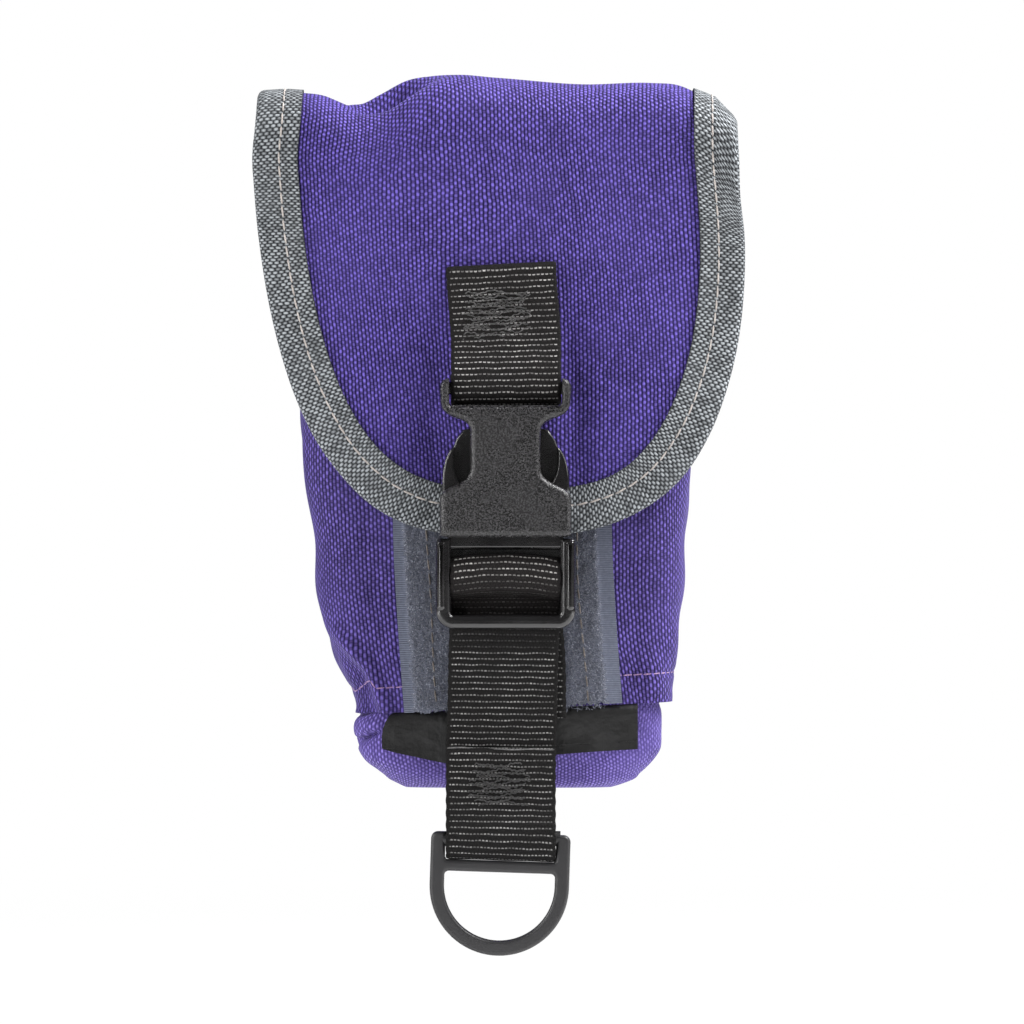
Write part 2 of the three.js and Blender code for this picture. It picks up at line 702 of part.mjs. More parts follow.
function socketOutline() {
  const half = SOCKET_HALF_WIDTH;
  const waist = SOCKET_WAIST_HALF_WIDTH;
  const low = SOCKET_BOTTOM;
  const sleeve = low + SLEEVE_LENGTH;
  const waistLow = sleeve + WAIST_BLEND;
  const waistHigh = waistLow + WAIST_LENGTH;
  const shoulder = socketTop - SOCKET_HEAD + SHOULDER_BLEND;
  const mouthCorner = SOCKET_MOUTH_CORNER;
  const topCorner = SOCKET_TOP_CORNER;
  const right = (shape) => {
    shape.lineTo(half - mouthCorner, low);
    shape.quadraticCurveTo(half, low, half, low + mouthCorner);
    shape.lineTo(half, sleeve - 1);
    shape.bezierCurveTo(half, sleeve + 1.2, waist + 0.6, sleeve + 1.2, waist, waistLow);
    shape.lineTo(waist, waistHigh);
    shape.bezierCurveTo(waist + 0.2, shoulder - 0.6, half, shoulder - 1.4, half, shoulder + 1.4);
    shape.lineTo(half, socketTop - topCorner);
    shape.quadraticCurveTo(half, socketTop, half - topCorner, socketTop);
  };
  const shape = new THREE.Shape();
  shape.moveTo(0, low);
  right(shape);
  const points = shape.getPoints(5);
  const mirrored = points.slice(1).reverse();
  mirrored.forEach(({ x, y }) => shape.lineTo(-x, y));
  shape.closePath();
  return shape;
}

function buckleSocket() {
  const half = SOCKET_THICKNESS / 2;
  const inner = half - SOCKET_PLATE;
  const cavityTop = slotLow - SOCKET_STOP;
  let solid = plate(socketOutline(), buckleMiddle, SOCKET_THICKNESS, SOCKET_BEVEL, 5);
  const cavity = block(
    sleeveHalfWidth,
    buckleMiddle - inner,
    buckleMiddle + inner,
    SOCKET_BOTTOM - PAST,
    cavityTop,
  );
  const sides = block(
    SOCKET_HALF_WIDTH + PAST,
    buckleMiddle - inner,
    buckleMiddle + inner,
    SOCKET_BOTTOM + SLEEVE_LENGTH,
    cavityTop,
  );
  const webWay = block(
    slotHalfWidth,
    buckleMiddle - half - PAST,
    buckleMiddle + half + PAST,
    slotLow,
    socketTop + PAST,
  );
  const rearCut = block(
    SOCKET_HALF_WIDTH + PAST,
    buckleMiddle - half - PAST,
    buckleMiddle - half + SOCKET_PLATE,
    webBarZ - BAR_RADIUS,
    socketTop + PAST,
  );
  solid = solid.subtract(cavity).subtract(sides).subtract(webWay).subtract(rearCut);
  solid = solid.add(bar(slotHalfWidth + BAR_END, webBarY, webBarZ, BAR_RADIUS, BAR_RADIUS));
  return mesh("buckle_socket", geometryOf(solid), "plastic");
}

function bucklePlug() {
  const half = PLUG_THICKNESS / 2;
  const frame = plate(
    roundedRect(PLUG_HALF_WIDTH, plugLow, plugTop, PLUG_CORNER, PLUG_MOUTH_CORNER),
    buckleMiddle,
    PLUG_THICKNESS,
    PLUG_BEVEL,
  );
  const windowCut = block(
    slotHalfWidth,
    buckleMiddle - half - PAST,
    buckleMiddle + half + PAST,
    plugLow + END_BAR_HEIGHT,
    plugTop + PAST,
  );
  const behindEndBar = block(
    slotHalfWidth,
    tailAtPlug - WEB / 2 - SEAM,
    buckleMiddle + half + PAST,
    plugLow - PAST,
    plugLow + END_BAR_HEIGHT + PAST,
  );
  const headLow = plugTop - HEAD_BAR_HEIGHT;
  const headHalf = SOCKET_THICKNESS / 2 - SOCKET_PLATE - BUCKLE_PLAY;
  const headBar = block(
    slotHalfWidth + BAR_END,
    buckleMiddle - headHalf,
    buckleMiddle + headHalf,
    headLow,
    plugTop,
  );
  const headStep = block(
    sleeveHalfWidth - BUCKLE_PLAY,
    buckleMiddle - headHalf,
    buckleMiddle + headHalf,
    headLow,
    headHigh,
  );
  const guide = plate(
    roundedRect(GUIDE_HALF_WIDTH, headLow, headHigh + GUIDE_LENGTH, 0.2, GUIDE_TIP_RADIUS),
    buckleMiddle,
    2 * (headHalf - GUIDE_RECESS),
  );
  const centreBar = bar(
    slotHalfWidth + BAR_END,
    centreBarY,
    centreBarZ,
    CENTRE_BAR_HALF_DEPTH,
    CENTRE_BAR_HALF_HEIGHT,
  );
  const solid = frame
    .subtract(windowCut)
    .subtract(behindEndBar)
    .add(headBar)
    .add(headStep)
    .add(guide)
    .add(centreBar);
  return mesh("buckle_plug", geometryOf(solid), "plastic");
}

const armRootZ = headHigh + SEAM + ARM_ROOT_RADIUS;

// A sprung arm with its catch head, drawn for the right side.
function plugArm(name, hand) {
  const r = ARM_ROOT_RADIUS;
  const outer = sleeveHalfWidth - BUCKLE_PLAY;
  const top = armRootZ - r + ARM_LENGTH;
  const shape = new THREE.Shape();
  shape.moveTo(ARM_ROOT_X + r, armRootZ);
  shape.lineTo(ARM_ROOT_X + r + 0.2, armRootZ + ARM_STEM);
  shape.lineTo(outer, armRootZ + ARM_SHOULDER);
  shape.quadraticCurveTo(outer + 0.1, top - 4, ARM_ROOT_X + 1, top);
  shape.quadraticCurveTo(ARM_ROOT_X - 0.8, top, ARM_ROOT_X - 1.2, top - 3);
  shape.lineTo(ARM_ROOT_X - r, armRootZ);
  shape.absarc(ARM_ROOT_X, armRootZ, r, Math.PI, 2 * Math.PI, false);
  const geometry = geometryOf(plate(shape, buckleMiddle, ARM_THICKNESS, ARM_BEVEL, 8));
  if (hand > 0) return mesh(name, geometry, "plastic");
  return mesh(name, geometryOf(solidOf(geometry).mirror([1, 0, 0])), "plastic");
}

// Straps

const flapTackZ = webBarZ + FLAP_TACK_RISE;

// The webbing loop that hangs the socket on the flap.
function flapStrap() {
  const frontAtBar = webBarY - barOffset;
  const path = [
    at(flapStrapFront, FLAP_STRAP_TOP),
    at(flapStrapFront, flapTackZ - 1),
    at(flapStrapFront - 0.3, flapTackZ - 3),
    at(frontAtBar + 0.4, webBarZ + 2.4),
    ...arc(webBarY, webBarZ, barOffset, barOffset, 180, 360, 10),
    at(flapStrapBack, FLAP_STRAP_TOP),
  ];
  return mesh("flap_strap", ribbon(path, WEB_WIDTH, WEB), "webbing");
}

// The paths below are (y, z) points, and their small offsets shape the bends of the webbing.

const wrapDepth = CENTRE_BAR_HALF_DEPTH + SEAM + WEB / 2;
const wrapHeight = CENTRE_BAR_HALF_HEIGHT + SEAM + WEB / 2;
const tailTop = plugLow + 0.4;

// Webbing over the centre bar: up behind it, down in front and back under the end bar.
function strapWrap() {
  const path = [
    at(centreBarY + wrapDepth, centreBarZ + 0.4),
    ...arc(centreBarY, centreBarZ, wrapDepth, wrapHeight, 15, 250, 14),
    at(centreBarY + 1.9, centreBarZ - wrapHeight - 1.0),
    at(tailAtPlug - 0.5, plugLow + 5.2),
    at(tailAtPlug, plugLow + 3.4),
    at(tailAtPlug, tailTop),
  ];
  return mesh("strap_wrap", ribbon(path, WEB_WIDTH, WEB), "webbing");
}

// The part of the strap that is sewn to the hem and runs up to the centre bar.
function anchorRun() {
  const path = [
    at(anchorMiddle, ANCHOR_END),
    at(anchorMiddle, plugLow - 6),
    at(anchorMiddle - 0.4, plugLow - 3),
    at(tailAtPlug + 2.6, plugLow + 3.4),
    at(tailAtPlug + 1.4, plugLow + 6.6),
    at(centreBarY + wrapDepth + 0.25, centreBarZ - 2.6),
    at(centreBarY + wrapDepth, centreBarZ - SEAM + 0.4),
  ];
  return mesh("anchor_run", ribbon(path, WEB_WIDTH, WEB), "webbing");
}

// The part of the strap that hangs from the plug down to the doubled end.
function tailRun() {
  const path = [
    at(tailAtPlug, tailTop - SEAM),
    at(tailAtPlug + 0.3, tailTop - 2),
    at(tailMiddle - 0.3, tailTop - 7),
    at(tailMiddle, tailTop - 9),
    at(tailMiddle, STRAP_END + SEAM),
  ];
  return mesh("tail_run", ribbon(path, WEB_WIDTH, WEB), "webbing");
}

const ringAxisY = (tailMiddle + tailFront) / 2;
const ringBarRadius = RING_THICKNESS / 2;
const ringWrap = ringBarRadius + SEAM + WEB / 2;
const ringBend = 1.9; // bend of the webbing above the ring's axis

// The end of the strap, folded round the top bar of the ring and sewn to itself.
function strapEnd() {
  const neck = RING_AXIS_HEIGHT + ringWrap + 2.6;
  const path = [
    at(tailFront, STRAP_END),
    at(tailFront, neck + 1),
    at(ringAxisY - ringWrap + 0.35, RING_AXIS_HEIGHT + ringBend),
    ...arc(ringAxisY, RING_AXIS_HEIGHT, ringWrap, ringWrap, 180, 360, 12),
    at(ringAxisY + ringWrap - 0.35, RING_AXIS_HEIGHT + ringBend),
    at(tailMiddle, neck + 1),
    at(tailMiddle, STRAP_END),
  ];
  return mesh("strap_end", ribbon(path, WEB_WIDTH, WEB), "webbing");
}

function tack(name, strapMiddle, z) {
  const back = strapMiddle - WEB / 2 - SEAM;
  const solid = block(TACK_WIDTH / 2, back - TACK, back, z, z + TACK_HEIGHT);
  return mesh(name, geometryOf(solid), "thread");
}

// Ring

function dRing() {
  const top = RING_AXIS_HEIGHT + ringBarRadius;
  const slotTop = RING_AXIS_HEIGHT - ringBarRadius;
  const slotBottom = slotTop - RING_SLOT;
  const eyeTop = slotBottom - RING_BAR;
  const inside = RING_HALF_WIDTH - RING_SIDE;
  const outline = new THREE.Shape();
  outline.moveTo(-RING_HALF_WIDTH, RING_EYE_CENTRE);
  outline.absarc(0, RING_EYE_CENTRE, RING_HALF_WIDTH, Math.PI, 2 * Math.PI, false);
  outline.lineTo(RING_HALF_WIDTH, top - RING_CORNER);
  outline.quadraticCurveTo(RING_HALF_WIDTH, top, RING_HALF_WIDTH - RING_CORNER, top);
  outline.lineTo(-RING_HALF_WIDTH + RING_CORNER, top);
  outline.quadraticCurveTo(-RING_HALF_WIDTH, top, -RING_HALF_WIDTH, top - RING_CORNER);
  const eye = new THREE.Path();
  eye.moveTo(inside, RING_EYE_CENTRE);
  eye.absarc(0, RING_EYE_CENTRE, inside, 2 * Math.PI, Math.PI, true);
  eye.lineTo(-inside, eyeTop);
  eye.lineTo(inside, eyeTop);
  outline.holes.push(eye);
  const webWay = block(
    slotHalfWidth,
    ringAxisY - RING_THICKNESS,
    ringAxisY + RING_THICKNESS,
    slotBottom,
    top + RING_THICKNESS,
  );
  const topBar = bar(slotHalfWidth + BAR_END, ringAxisY, RING_AXIS_HEIGHT, ringBarRadius, ringBarRadius);
  const solid = plate(outline, ringAxisY, RING_THICKNESS, RING_BEVEL, 12).subtract(webWay).add(topBar);
  return mesh("d_ring", geometryOf(solid), "ring");
}

// Assembly

const bag = new THREE.Group();
bag.add(
  backPanel(),
  frontPanel(),
  gusset("gusset_left", -1),
  gusset("gusset_right", 1),
  basePanel(),
  mouthBinding(),
  loopPatch(),
  label(),
  beltLoop(),
  anchorRun(),
);

const flap = new THREE.Group();
flap.add(
  mesh("flap_shell", flapLayer(-CLOTH / 2, CLOTH / 2, 0, 0), "cloth"),
  flapLining(),
  flapBinding(),
  hookPatch(),
  flapStrap(),
  tack("flap_strap_tack", flapStrapFront, flapTackZ),
  buckleSocket(),
);

const strap = new THREE.Group();
strap.add(
  bucklePlug(),
  plugArm("plug_arm_left", -1),
  plugArm("plug_arm_right", 1),
  strapWrap(),
  tailRun(),
  strapEnd(),
  tack("strap_end_tack", tailFront, END_TACK_HEIGHT),
  dRing(),
);

const pouch = new THREE.Group();
pouch.add(bag, flap, strap);
pouch.position.set(0, -BELT_GAP / 2, -BELT_SEAT);

export default pouch;
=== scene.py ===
import math

import bmesh
import bpy
import mathutils
import numpy as np
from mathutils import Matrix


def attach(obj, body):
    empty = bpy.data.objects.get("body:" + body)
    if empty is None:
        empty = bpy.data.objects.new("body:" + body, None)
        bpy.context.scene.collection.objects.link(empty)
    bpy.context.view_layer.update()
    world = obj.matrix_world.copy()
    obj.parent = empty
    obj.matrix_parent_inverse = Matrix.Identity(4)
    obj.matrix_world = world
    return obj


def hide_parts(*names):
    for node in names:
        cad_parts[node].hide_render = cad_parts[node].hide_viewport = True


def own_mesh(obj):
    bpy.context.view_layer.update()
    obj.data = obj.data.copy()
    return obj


# The looks of a phone belt pouch.
# Lengths in this script are millimetres with z = 0 at the base of the pouch and y = 0 on the
# outer face of its back, and `metres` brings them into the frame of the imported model.

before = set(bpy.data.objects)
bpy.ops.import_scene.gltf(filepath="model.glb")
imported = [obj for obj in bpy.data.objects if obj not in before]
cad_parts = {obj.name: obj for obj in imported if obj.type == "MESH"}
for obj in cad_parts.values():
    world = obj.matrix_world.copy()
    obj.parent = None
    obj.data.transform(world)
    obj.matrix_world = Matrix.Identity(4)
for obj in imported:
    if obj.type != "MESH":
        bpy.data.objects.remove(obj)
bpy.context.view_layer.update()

ORIGIN = np.array([0.0, 2.9, 127.0])
# The cloth and its seams, then the webbing with the pitch of its ribs above and below the buckle.
CLOTH = 1.0
TAPE = 0.6
SEAM = 0.3
WEAVE_DEPTH = 0.2
WEB = 1.3
WEB_WIDTH = 25.0
WIDE_WIDTH = 50.0
RIB = 1.34
LOW_RIB = 1.43
RIB_RELIEF = 0.15
BUCKLE_SHIFT = 0.6
BUCKLE_Y = -38.3
HINGE = (0.8, 147.7)


def metres(points):
    return (np.asarray(points, float) - ORIGIN) / 1000


def bend(value, table):
    """A smooth curve through the (place, size) pairs of a table."""
    places, sizes = np.array(table, float).T
    order = np.argsort(places)
    places, sizes = places[order], sizes[order]
    slopes = np.gradient(sizes, places)
    value = np.clip(value, places[0], places[-1])
    i = np.clip(np.searchsorted(places, value) - 1, 0, len(places) - 2)
    gap = places[i + 1] - places[i]
    t = (value - places[i]) / gap
    start = sizes[i] * (2 * t**3 - 3 * t**2 + 1) + slopes[i] * gap * (t**3 - 2 * t**2 + t)
    end = sizes[i + 1] * (3 * t**2 - 2 * t**3) + slopes[i + 1] * gap * (t**3 - t**2)
    return start + end


def fade(value, start, end):
    t = np.clip((value - start) / (end - start), 0, 1)
    return t * t * (3 - 2 * t)


def hill(*parts):
    """A smooth bump of height 1, with a (value, centre, width) for each direction across it."""
    return np.exp(-sum(((value - centre) / width) ** 2 for value, centre, width in parts))


def unit(vectors):
    return vectors / np.linalg.norm(vectors, axis=-1, keepdims=True)


def run_along(points):
    """How far along a path each of its points is."""
    return np.concatenate([[0], np.cumsum(np.linalg.norm(np.diff(points, axis=0), axis=1))])


def at_places(places, run, points):
    return np.stack([np.interp(places, run, column) for column in points.T], 1)


def ripple(x, z, size, seed):
    """Gentle waves of about `size`, between -1 and 1, the same on every run."""
    rng = np.random.default_rng(seed)
    total = 0
    for _ in range(6):
        angle, phase = rng.uniform(0, 2 * math.pi, 2)
        turn = 2 * math.pi / (size * rng.uniform(0.7, 1.6))
        total = total + np.sin((x * math.cos(angle) + z * math.sin(angle)) * turn + phase)
    return total / 3.5


def from_line(line, x, z):
    """Signed distance from a polyline, positive on its right hand, and the share along it."""
    line = np.array(line, float)
    lengths = np.linalg.norm(np.diff(line, axis=0), axis=1)
    starts = run_along(line)
    best = np.full(np.shape(x), np.inf)
    side = np.zeros(np.shape(x))
    share = np.zeros(np.shape(x))
    for a, b, start, length in zip(line[:-1], line[1:], starts, lengths):
        d = (b - a) / length
        along = np.clip((x - a[0]) * d[0] + (z - a[1]) * d[1], 0, length)
        dx = x - a[0] - along * d[0]
        dz = z - a[1] - along * d[1]
        far = np.hypot(dx, dz)
        closer = far < best
        best = np.where(closer, far, best)
        side = np.where(closer, np.sign(dx * d[1] - dz * d[0]), side)
        share = np.where(closer, (start + along) / starts[-1], share)
    return best * side, share


# Materials


def maths(kind, swapped=False):
    """A method of Wire that makes one Math node."""

    def method(self, *others):
        return self.look.math(kind, *((*others, self) if swapped else (self, *others)))

    return method


class Wire:
    """The output of a node, on which arithmetic makes more nodes."""

    __add__ = maths("ADD")
    __sub__ = maths("SUBTRACT")
    __rsub__ = maths("SUBTRACT", swapped=True)
    __mul__ = maths("MULTIPLY")
    __truediv__ = maths("DIVIDE")
    __pow__ = maths("POWER")
    floor = maths("FLOOR")
    fract = maths("FRACT")
    size = maths("ABSOLUTE")

    def __init__(self, look, socket):
        self.look, self.socket = look, socket

    def ramp(self, low, high, start=0.0, end=1.0):
        """A smooth step from start at low to end at high, where low may be the larger."""
        entries = {"Value": self, "From Min": low, "From Max": high, "To Min": start, "To Max": end}
        return self.look.node("MapRange", entries, interpolation_type="SMOOTHSTEP")


class Look:
    """A material whose nodes are written as sums of wires."""

    def __init__(self, name):
        self.material = bpy.data.materials.new(name)
        self.material.use_nodes = True
        self.tree = self.material.node_tree
        self.shader = self.tree.nodes["Principled BSDF"]
        self.uv = self.node("UVMap", {}, uv_map="cloth")
        self.u, self.v = (self.node("SeparateXYZ", {0: self.uv}, axis) for axis in range(2))
        self.place = self.node("TexCoord", {}, "Object")

    def put(self, socket, value):
        if isinstance(value, Wire):
            self.tree.links.new(value.socket, socket)
        else:
            socket.default_value = value

    def node(self, kind, entries, output=0, **settings):
        """The wire from a new node that has these settings, and these entries in its inputs."""
        made = self.tree.nodes.new("ShaderNode" + kind)
        for name, value in settings.items():
            setattr(made, name, value)
        for key, value in entries.items():
            self.put(made.inputs[key], value)
        return Wire(self, made.outputs[output])

    def math(self, kind, *values, clamp=False):
        return self.node("Math", dict(enumerate(values)), operation=kind, use_clamp=clamp)

    def mix(self, share, first, second):
        first, second = (c if isinstance(c, Wire) else (*c, 1) for c in (first, second))
        return self.node("Mix", {0: share, 6: first, 7: second}, 2, data_type="RGBA")

    def vector(self, *parts):
        return self.node("CombineXYZ", dict(enumerate(parts)))

    def noise(self, vector, scale, detail=2.0, roughness=0.5):
        entries = {"Vector": vector, "Scale": scale, "Detail": detail, "Roughness": roughness}
        return self.node("TexNoise", entries, "Fac")

    def speck(self, *parts):
        """A value by chance for each whole number of the parts."""
        return self.node("TexWhiteNoise", {"Vector": self.vector(*parts)}, "Value", noise_dimensions="2D")

    def dome(self, fraction):
        return fraction * (1.0 - fraction) * 4.0

    def bump(self, height, depth, **under):
        """A normal from a height, with its depth in millimetres."""
        return self.node("Bump", {"Height": height, "Distance": depth / 1000, **under})

    def finish(self, color, normal, **values):
        """The material, with these values on its shader."""
        values = {"base_color": color, "normal": normal, **values}
        for name, value in values.items():
            self.put(self.shader.inputs[name.replace("_", " ").title().replace("Ior", "IOR")], value)
        return self.material


def scaled(color, factor):
    return tuple(c * factor for c in color)


def woven(name, pale, dark, pitch, turned=False, sheen=0.2, speck=0.35, narrow=1.5, flat=0.3, weft=None):
    """Plain weave: long raised nubs in a brick pattern, each column offset by half a nub."""
    look = Look(name)
    u, v = (look.v, look.u) if turned else (look.u, look.v)
    sway = (look.noise(look.uv, 0.3) - 0.5) * 0.6
    a, b = (u + sway) / pitch[0], (v + sway) / pitch[1]
    column = a.floor()
    along = look.math("PINGPONG", b + column - 0.5, 1.0)
    row = ((b + column + 0.5) / 2.0).floor()
    across = look.dome(a.fract())
    # Painted light: each nub is palest at its middle and falls to the dark colour at its edges, painted
    # shading of a rounded nub, and that dark colour in the gaps between nubs is the weave's shade painted in.
    nub = across**narrow * along.ramp(1.0, 0.08)
    hair = look.noise(look.vector(u * 7.0, v * 2.2), 1.0)
    varied = nub * look.speck(column, row).ramp(0.0, 1.0, 1.0 - speck, 1.0 + speck)
    patches = look.noise(look.uv, 0.06, 4.0).ramp(0.3, 0.7, 0.9, 1.1)
    share = look.math("MULTIPLY", varied * hair.ramp(0.2, 0.8, 0.7, 1.25), patches, clamp=True)
    # Worn patches at random, where the nubs flatten.
    wear_and_painted_shade = look.noise(look.uv, 0.045, 3.0, 0.6).ramp(0.42, 0.62, 0.0, flat)
    share = share * (1.0 - wear_and_painted_shade) + wear_and_painted_shade * 0.42
    # Painted shade: turned cloth, the binding tape, darkens over the first millimetre of its section, the
    # shadow line along the tape's inner edge.
    if turned:
        share = share * look.u.ramp(0.3, 1.1)
    under = dark
    if weft:
        under = look.mix(along.ramp(0.6, 1.0) * across**1.4, dark, weft)
    return look.finish(
        look.mix(share, under, pale),
        look.bump(nub, WEAVE_DEPTH),
        roughness=nub.ramp(0.0, 1.0, 0.85, 0.5),
        sheen_weight=sheen,
        sheen_roughness=0.35,
        sheen_tint=(*[min(1.0, 0.3 + c) for c in pale], 1),
        specular_ior_level=0.12,
    )


def ribbed(name, body, yarn, contrast, width=WEB_WIDTH, dash_pitch=0.98, wear_and_painted_shade=None, rib=RIB):
    """Webbing: dark ribs across it, and pale dashes between them that are painted highlights on the yarn."""
    look = Look(name)
    row = (look.v + (look.noise(look.uv, 0.25) - 0.5) * 0.6) / rib
    cell_row = row.floor()
    # Painted highlights: the pale dashes, in the yarn colour, are highlights on the small nubs between the
    # ribs, painted in.
    dash = look.u / dash_pitch + cell_row * 0.5
    hump = look.dome(dash.fract()) * 0.09
    line = (row.fract() - (0.54 - hump)).size().ramp(0.15, 0.05)
    shown = line * (dash.fract() - 0.5).size().ramp(0.43, 0.2)
    shine = look.noise(look.uv, 0.09, 3.0).ramp(0.3, 0.7, 0.4, 1.0)
    share = shown * look.speck(dash.floor(), cell_row).ramp(0.0, 1.0, 0.4, 1.0) * shine * contrast
    # Painted shade: over this span along the webbing its painted highlights fade, where it lies in shadow
    # inside and just under the plug.
    if wear_and_painted_shade:
        share = share * look.v.ramp(*wear_and_painted_shade, 1.0, 0.2)
    share = share * (1.0 - look.u.size().ramp(width / 2 - 1.0, width / 2 - 0.6))
    fibres = look.noise(look.vector(look.u * 5.0, look.v * 2.4), 1.0, 3.0, 0.7)
    base = look.mix(fibres.ramp(0.35, 0.7), scaled(body, 0.35), scaled(body, 1.9))
    return look.finish(
        look.mix(share, base, yarn),
        look.bump(fibres * 0.8 + shown * 0.6, 0.16),
        roughness=0.66,
        sheen_weight=0.015,
        sheen_roughness=0.4,
        specular_ior_level=0.1,
    )


def thread_look(name, color, shade):
    look = Look(name)
    twist = look.noise(look.place, 2600.0)
    patches = look.noise(look.place, 520.0).ramp(0.3, 0.7, 0.35, 1.1)
    tone = look.math("MULTIPLY", twist.ramp(0.3, 0.7), patches, clamp=True)
    return look.finish(look.mix(tone, shade, color), look.bump(twist, 0.05), roughness=0.6, sheen_weight=0.2)


def plastic(name, color, roughness, grain, size, speckle=0.0, specular=0.5):
    """Moulded plastic with a grain, lighter specks in it and a few scuffs."""
    look = Look(name)
    fine = look.noise(look.place, size, 2.0, 0.6)
    scuffed = look.noise(look.place, 260.0, 4.0, 0.65).ramp(0.62, 0.72)
    tone = look.mix(fine.ramp(0.42, 0.62), scaled(color, 1 - speckle), scaled(color, 1 + speckle))
    tone = look.mix(scuffed * 0.15, tone, scaled(color, 1.9))
    rough = look.noise(look.place, 90.0, 3.0).ramp(0.3, 0.7, roughness - 0.05, roughness + 0.06)
    return look.finish(
        tone, look.bump(fine, grain), roughness=rough + scuffed * 0.08, specular_ior_level=specular
    )


def pile_look(name, pale, dark, glint):
    """Napped loops: a fine dark mottle with small painted glints on the loops."""
    look = Look(name)
    tuft = look.noise(look.uv, 2.6, 4.0, 0.7)
    share = tuft.ramp(0.32, 0.7) * 0.7 + look.noise(look.uv, 0.5, 3.0, 0.6) * 0.4
    # Painted glints: small bright specks in the glint colour, highlights on the loops painted into the
    # colour.
    ends = look.noise(look.place, 2300.0, 2.0, 0.6).ramp(0.6, 0.7)
    color = look.mix(ends * 0.5, look.mix(share, dark, pale), glint)
    return look.finish(color, look.bump(tuft, 0.3), roughness=0.85, sheen_weight=0.3, sheen_roughness=0.5)


def selvedge_look(name, pale, dark):
    look = Look(name)
    rib = look.dome((look.v / 0.42).fract())
    wear = look.noise(look.uv, 1.2, 3.0).ramp(0.2, 0.8, 0.6, 1.1)
    share = look.math("MULTIPLY", rib, wear, clamp=True)
    return look.finish(look.mix(share, dark, pale), look.bump(rib, 0.1), roughness=0.7, sheen_weight=0.2)


def satin(name, color):
    look = Look(name)
    fine = look.noise(look.vector(look.u * 6.0, look.v * 0.9), 1.0, 3.0)
    normal = look.bump(look.noise(look.uv, 0.25, 3.0), 0.6, Normal=look.bump(fine, 0.03))
    tone = look.mix(fine, scaled(color, 0.7), scaled(color, 1.3))
    return look.finish(tone, normal, roughness=0.5, sheen_weight=0.06, specular_ior_level=0.35)


SHELL_WEAVE = {"pitch": (0.89, 0.66), "speck": 0.3, "narrow": 1.7}
# The yarn colour of the lower webbing is the colour of its painted highlights.
LOW_WEBBING = {"yarn": (0.58, 0.57, 0.56), "contrast": 0.76, "dash_pitch": 0.8, "rib": LOW_RIB}
PURPLE = woven(
    "purple_weave", (0.188, 0.135, 0.61), (0.002, 0.001, 0.014),
    flat=0.13, weft=(0.084, 0.054, 0.242), **SHELL_WEAVE,
)
# Painted shade: the body's purple is a darker, less blue copy of the flap's, for the shade on the body below
# the flap.
PURPLE_BODY = woven(
    "purple_body_weave", (0.162, 0.117, 0.465), (0.004, 0.0025, 0.018),
    flat=0.16, weft=(0.072, 0.046, 0.178), **SHELL_WEAVE,
)
# Painted light: the base's purple is a paler copy with lighter darks, for the sheen and the light from below
# on the base.
PURPLE_BASE = woven(
    "purple_base_weave", (0.242, 0.181, 0.59), (0.037, 0.026, 0.125),
    (0.8, 0.62), speck=0.3, weft=(0.1, 0.066, 0.25),
)
LINING = woven("lining_weave", (0.09, 0.065, 0.26), (0.02, 0.014, 0.07), (0.3, 0.3))
# The turned weave also paints the shadow line along the tape's inner edge.
BINDING = woven(
    "binding_weave", (0.4, 0.425, 0.45), (0.014, 0.015, 0.017),
    (0.74, 0.715), turned=True, sheen=0.06, speck=0.4, narrow=1.1, flat=0.1,
)
# In each webbing below, the pale yarn colour is that of its painted highlights.
WEBBING = ribbed("webbing_upper", (0.0105, 0.0095, 0.0095), (0.66, 0.64, 0.63), 1.0)
# Painted shade: on the wrap and the tail the highlights fade over a span of their length, in the plug's
# shadow.
WEBBING_WRAP = ribbed("webbing_wrap", (0.012, 0.0105, 0.0105), (0.66, 0.64, 0.62), 0.9, wear_and_painted_shade=(9.6, 11.6))
WEBBING_LOW = ribbed("webbing_lower", (0.008, 0.0075, 0.0075), **LOW_WEBBING)
WEBBING_TAIL = ribbed("webbing_tail", (0.0075, 0.007, 0.007), wear_and_painted_shade=(6.6, 5.2), **LOW_WEBBING)
WIDE_WEBBING = ribbed("webbing_wide", (0.016, 0.015, 0.015), (0.45, 0.44, 0.43), 0.5, WIDE_WIDTH, 0.95)
PLASTIC = plastic("grained_plastic", (0.0215, 0.0205, 0.022), 0.25, 0.18, 2400.0, 0.95)
SMOOTH = plastic("smooth_plastic", (0.0095, 0.009, 0.0095), 0.16, 0.01, 1400.0, specular=0.8)
RING = plastic("ring_plastic", (0.0195, 0.019, 0.0205), 0.4, 0.02, 1500.0)
PILE = pile_look("touch_pile", (0.167, 0.181, 0.24), (0.012, 0.014, 0.024), (0.62, 0.65, 0.72))
HOOKS = pile_look("hook_pile", (0.1, 0.1, 0.12), (0.015, 0.015, 0.02), (0.2, 0.2, 0.23))
SELVEDGE = selvedge_look("touch_selvedge", (0.145, 0.162, 0.222), (0.04, 0.046, 0.074))
SATIN = satin("label_satin", (0.005, 0.0048, 0.005))
PALE_THREAD = thread_look("pale_thread", (0.58, 0.53, 0.5), (0.36, 0.32, 0.3))
PINK_THREAD = thread_look("pink_thread", (0.42, 0.27, 0.42), (0.22, 0.12, 0.26))
BROWN_THREAD = thread_look("brown_thread", (0.2, 0.17, 0.15), (0.07, 0.06, 0.055))
BLACK_THREAD = thread_look("black_thread", (0.035, 0.033, 0.033), (0.006, 0.0055, 0.0055))


# Mesh helpers


def thing(name, data):
    """An object in the scene with this mesh, curve, light or camera."""
    made = bpy.data.objects.new(name, data)
    bpy.context.scene.collection.objects.link(made)
    return made


def shown(name, mesh, material, sharp):
    """The object of a mesh that is smooth but for edges sharper than this many degrees."""
    mesh.shade_smooth()
    mesh.set_sharp_from_angle(angle=math.radians(sharp))
    mesh.materials.append(material)
    return thing(name, mesh)


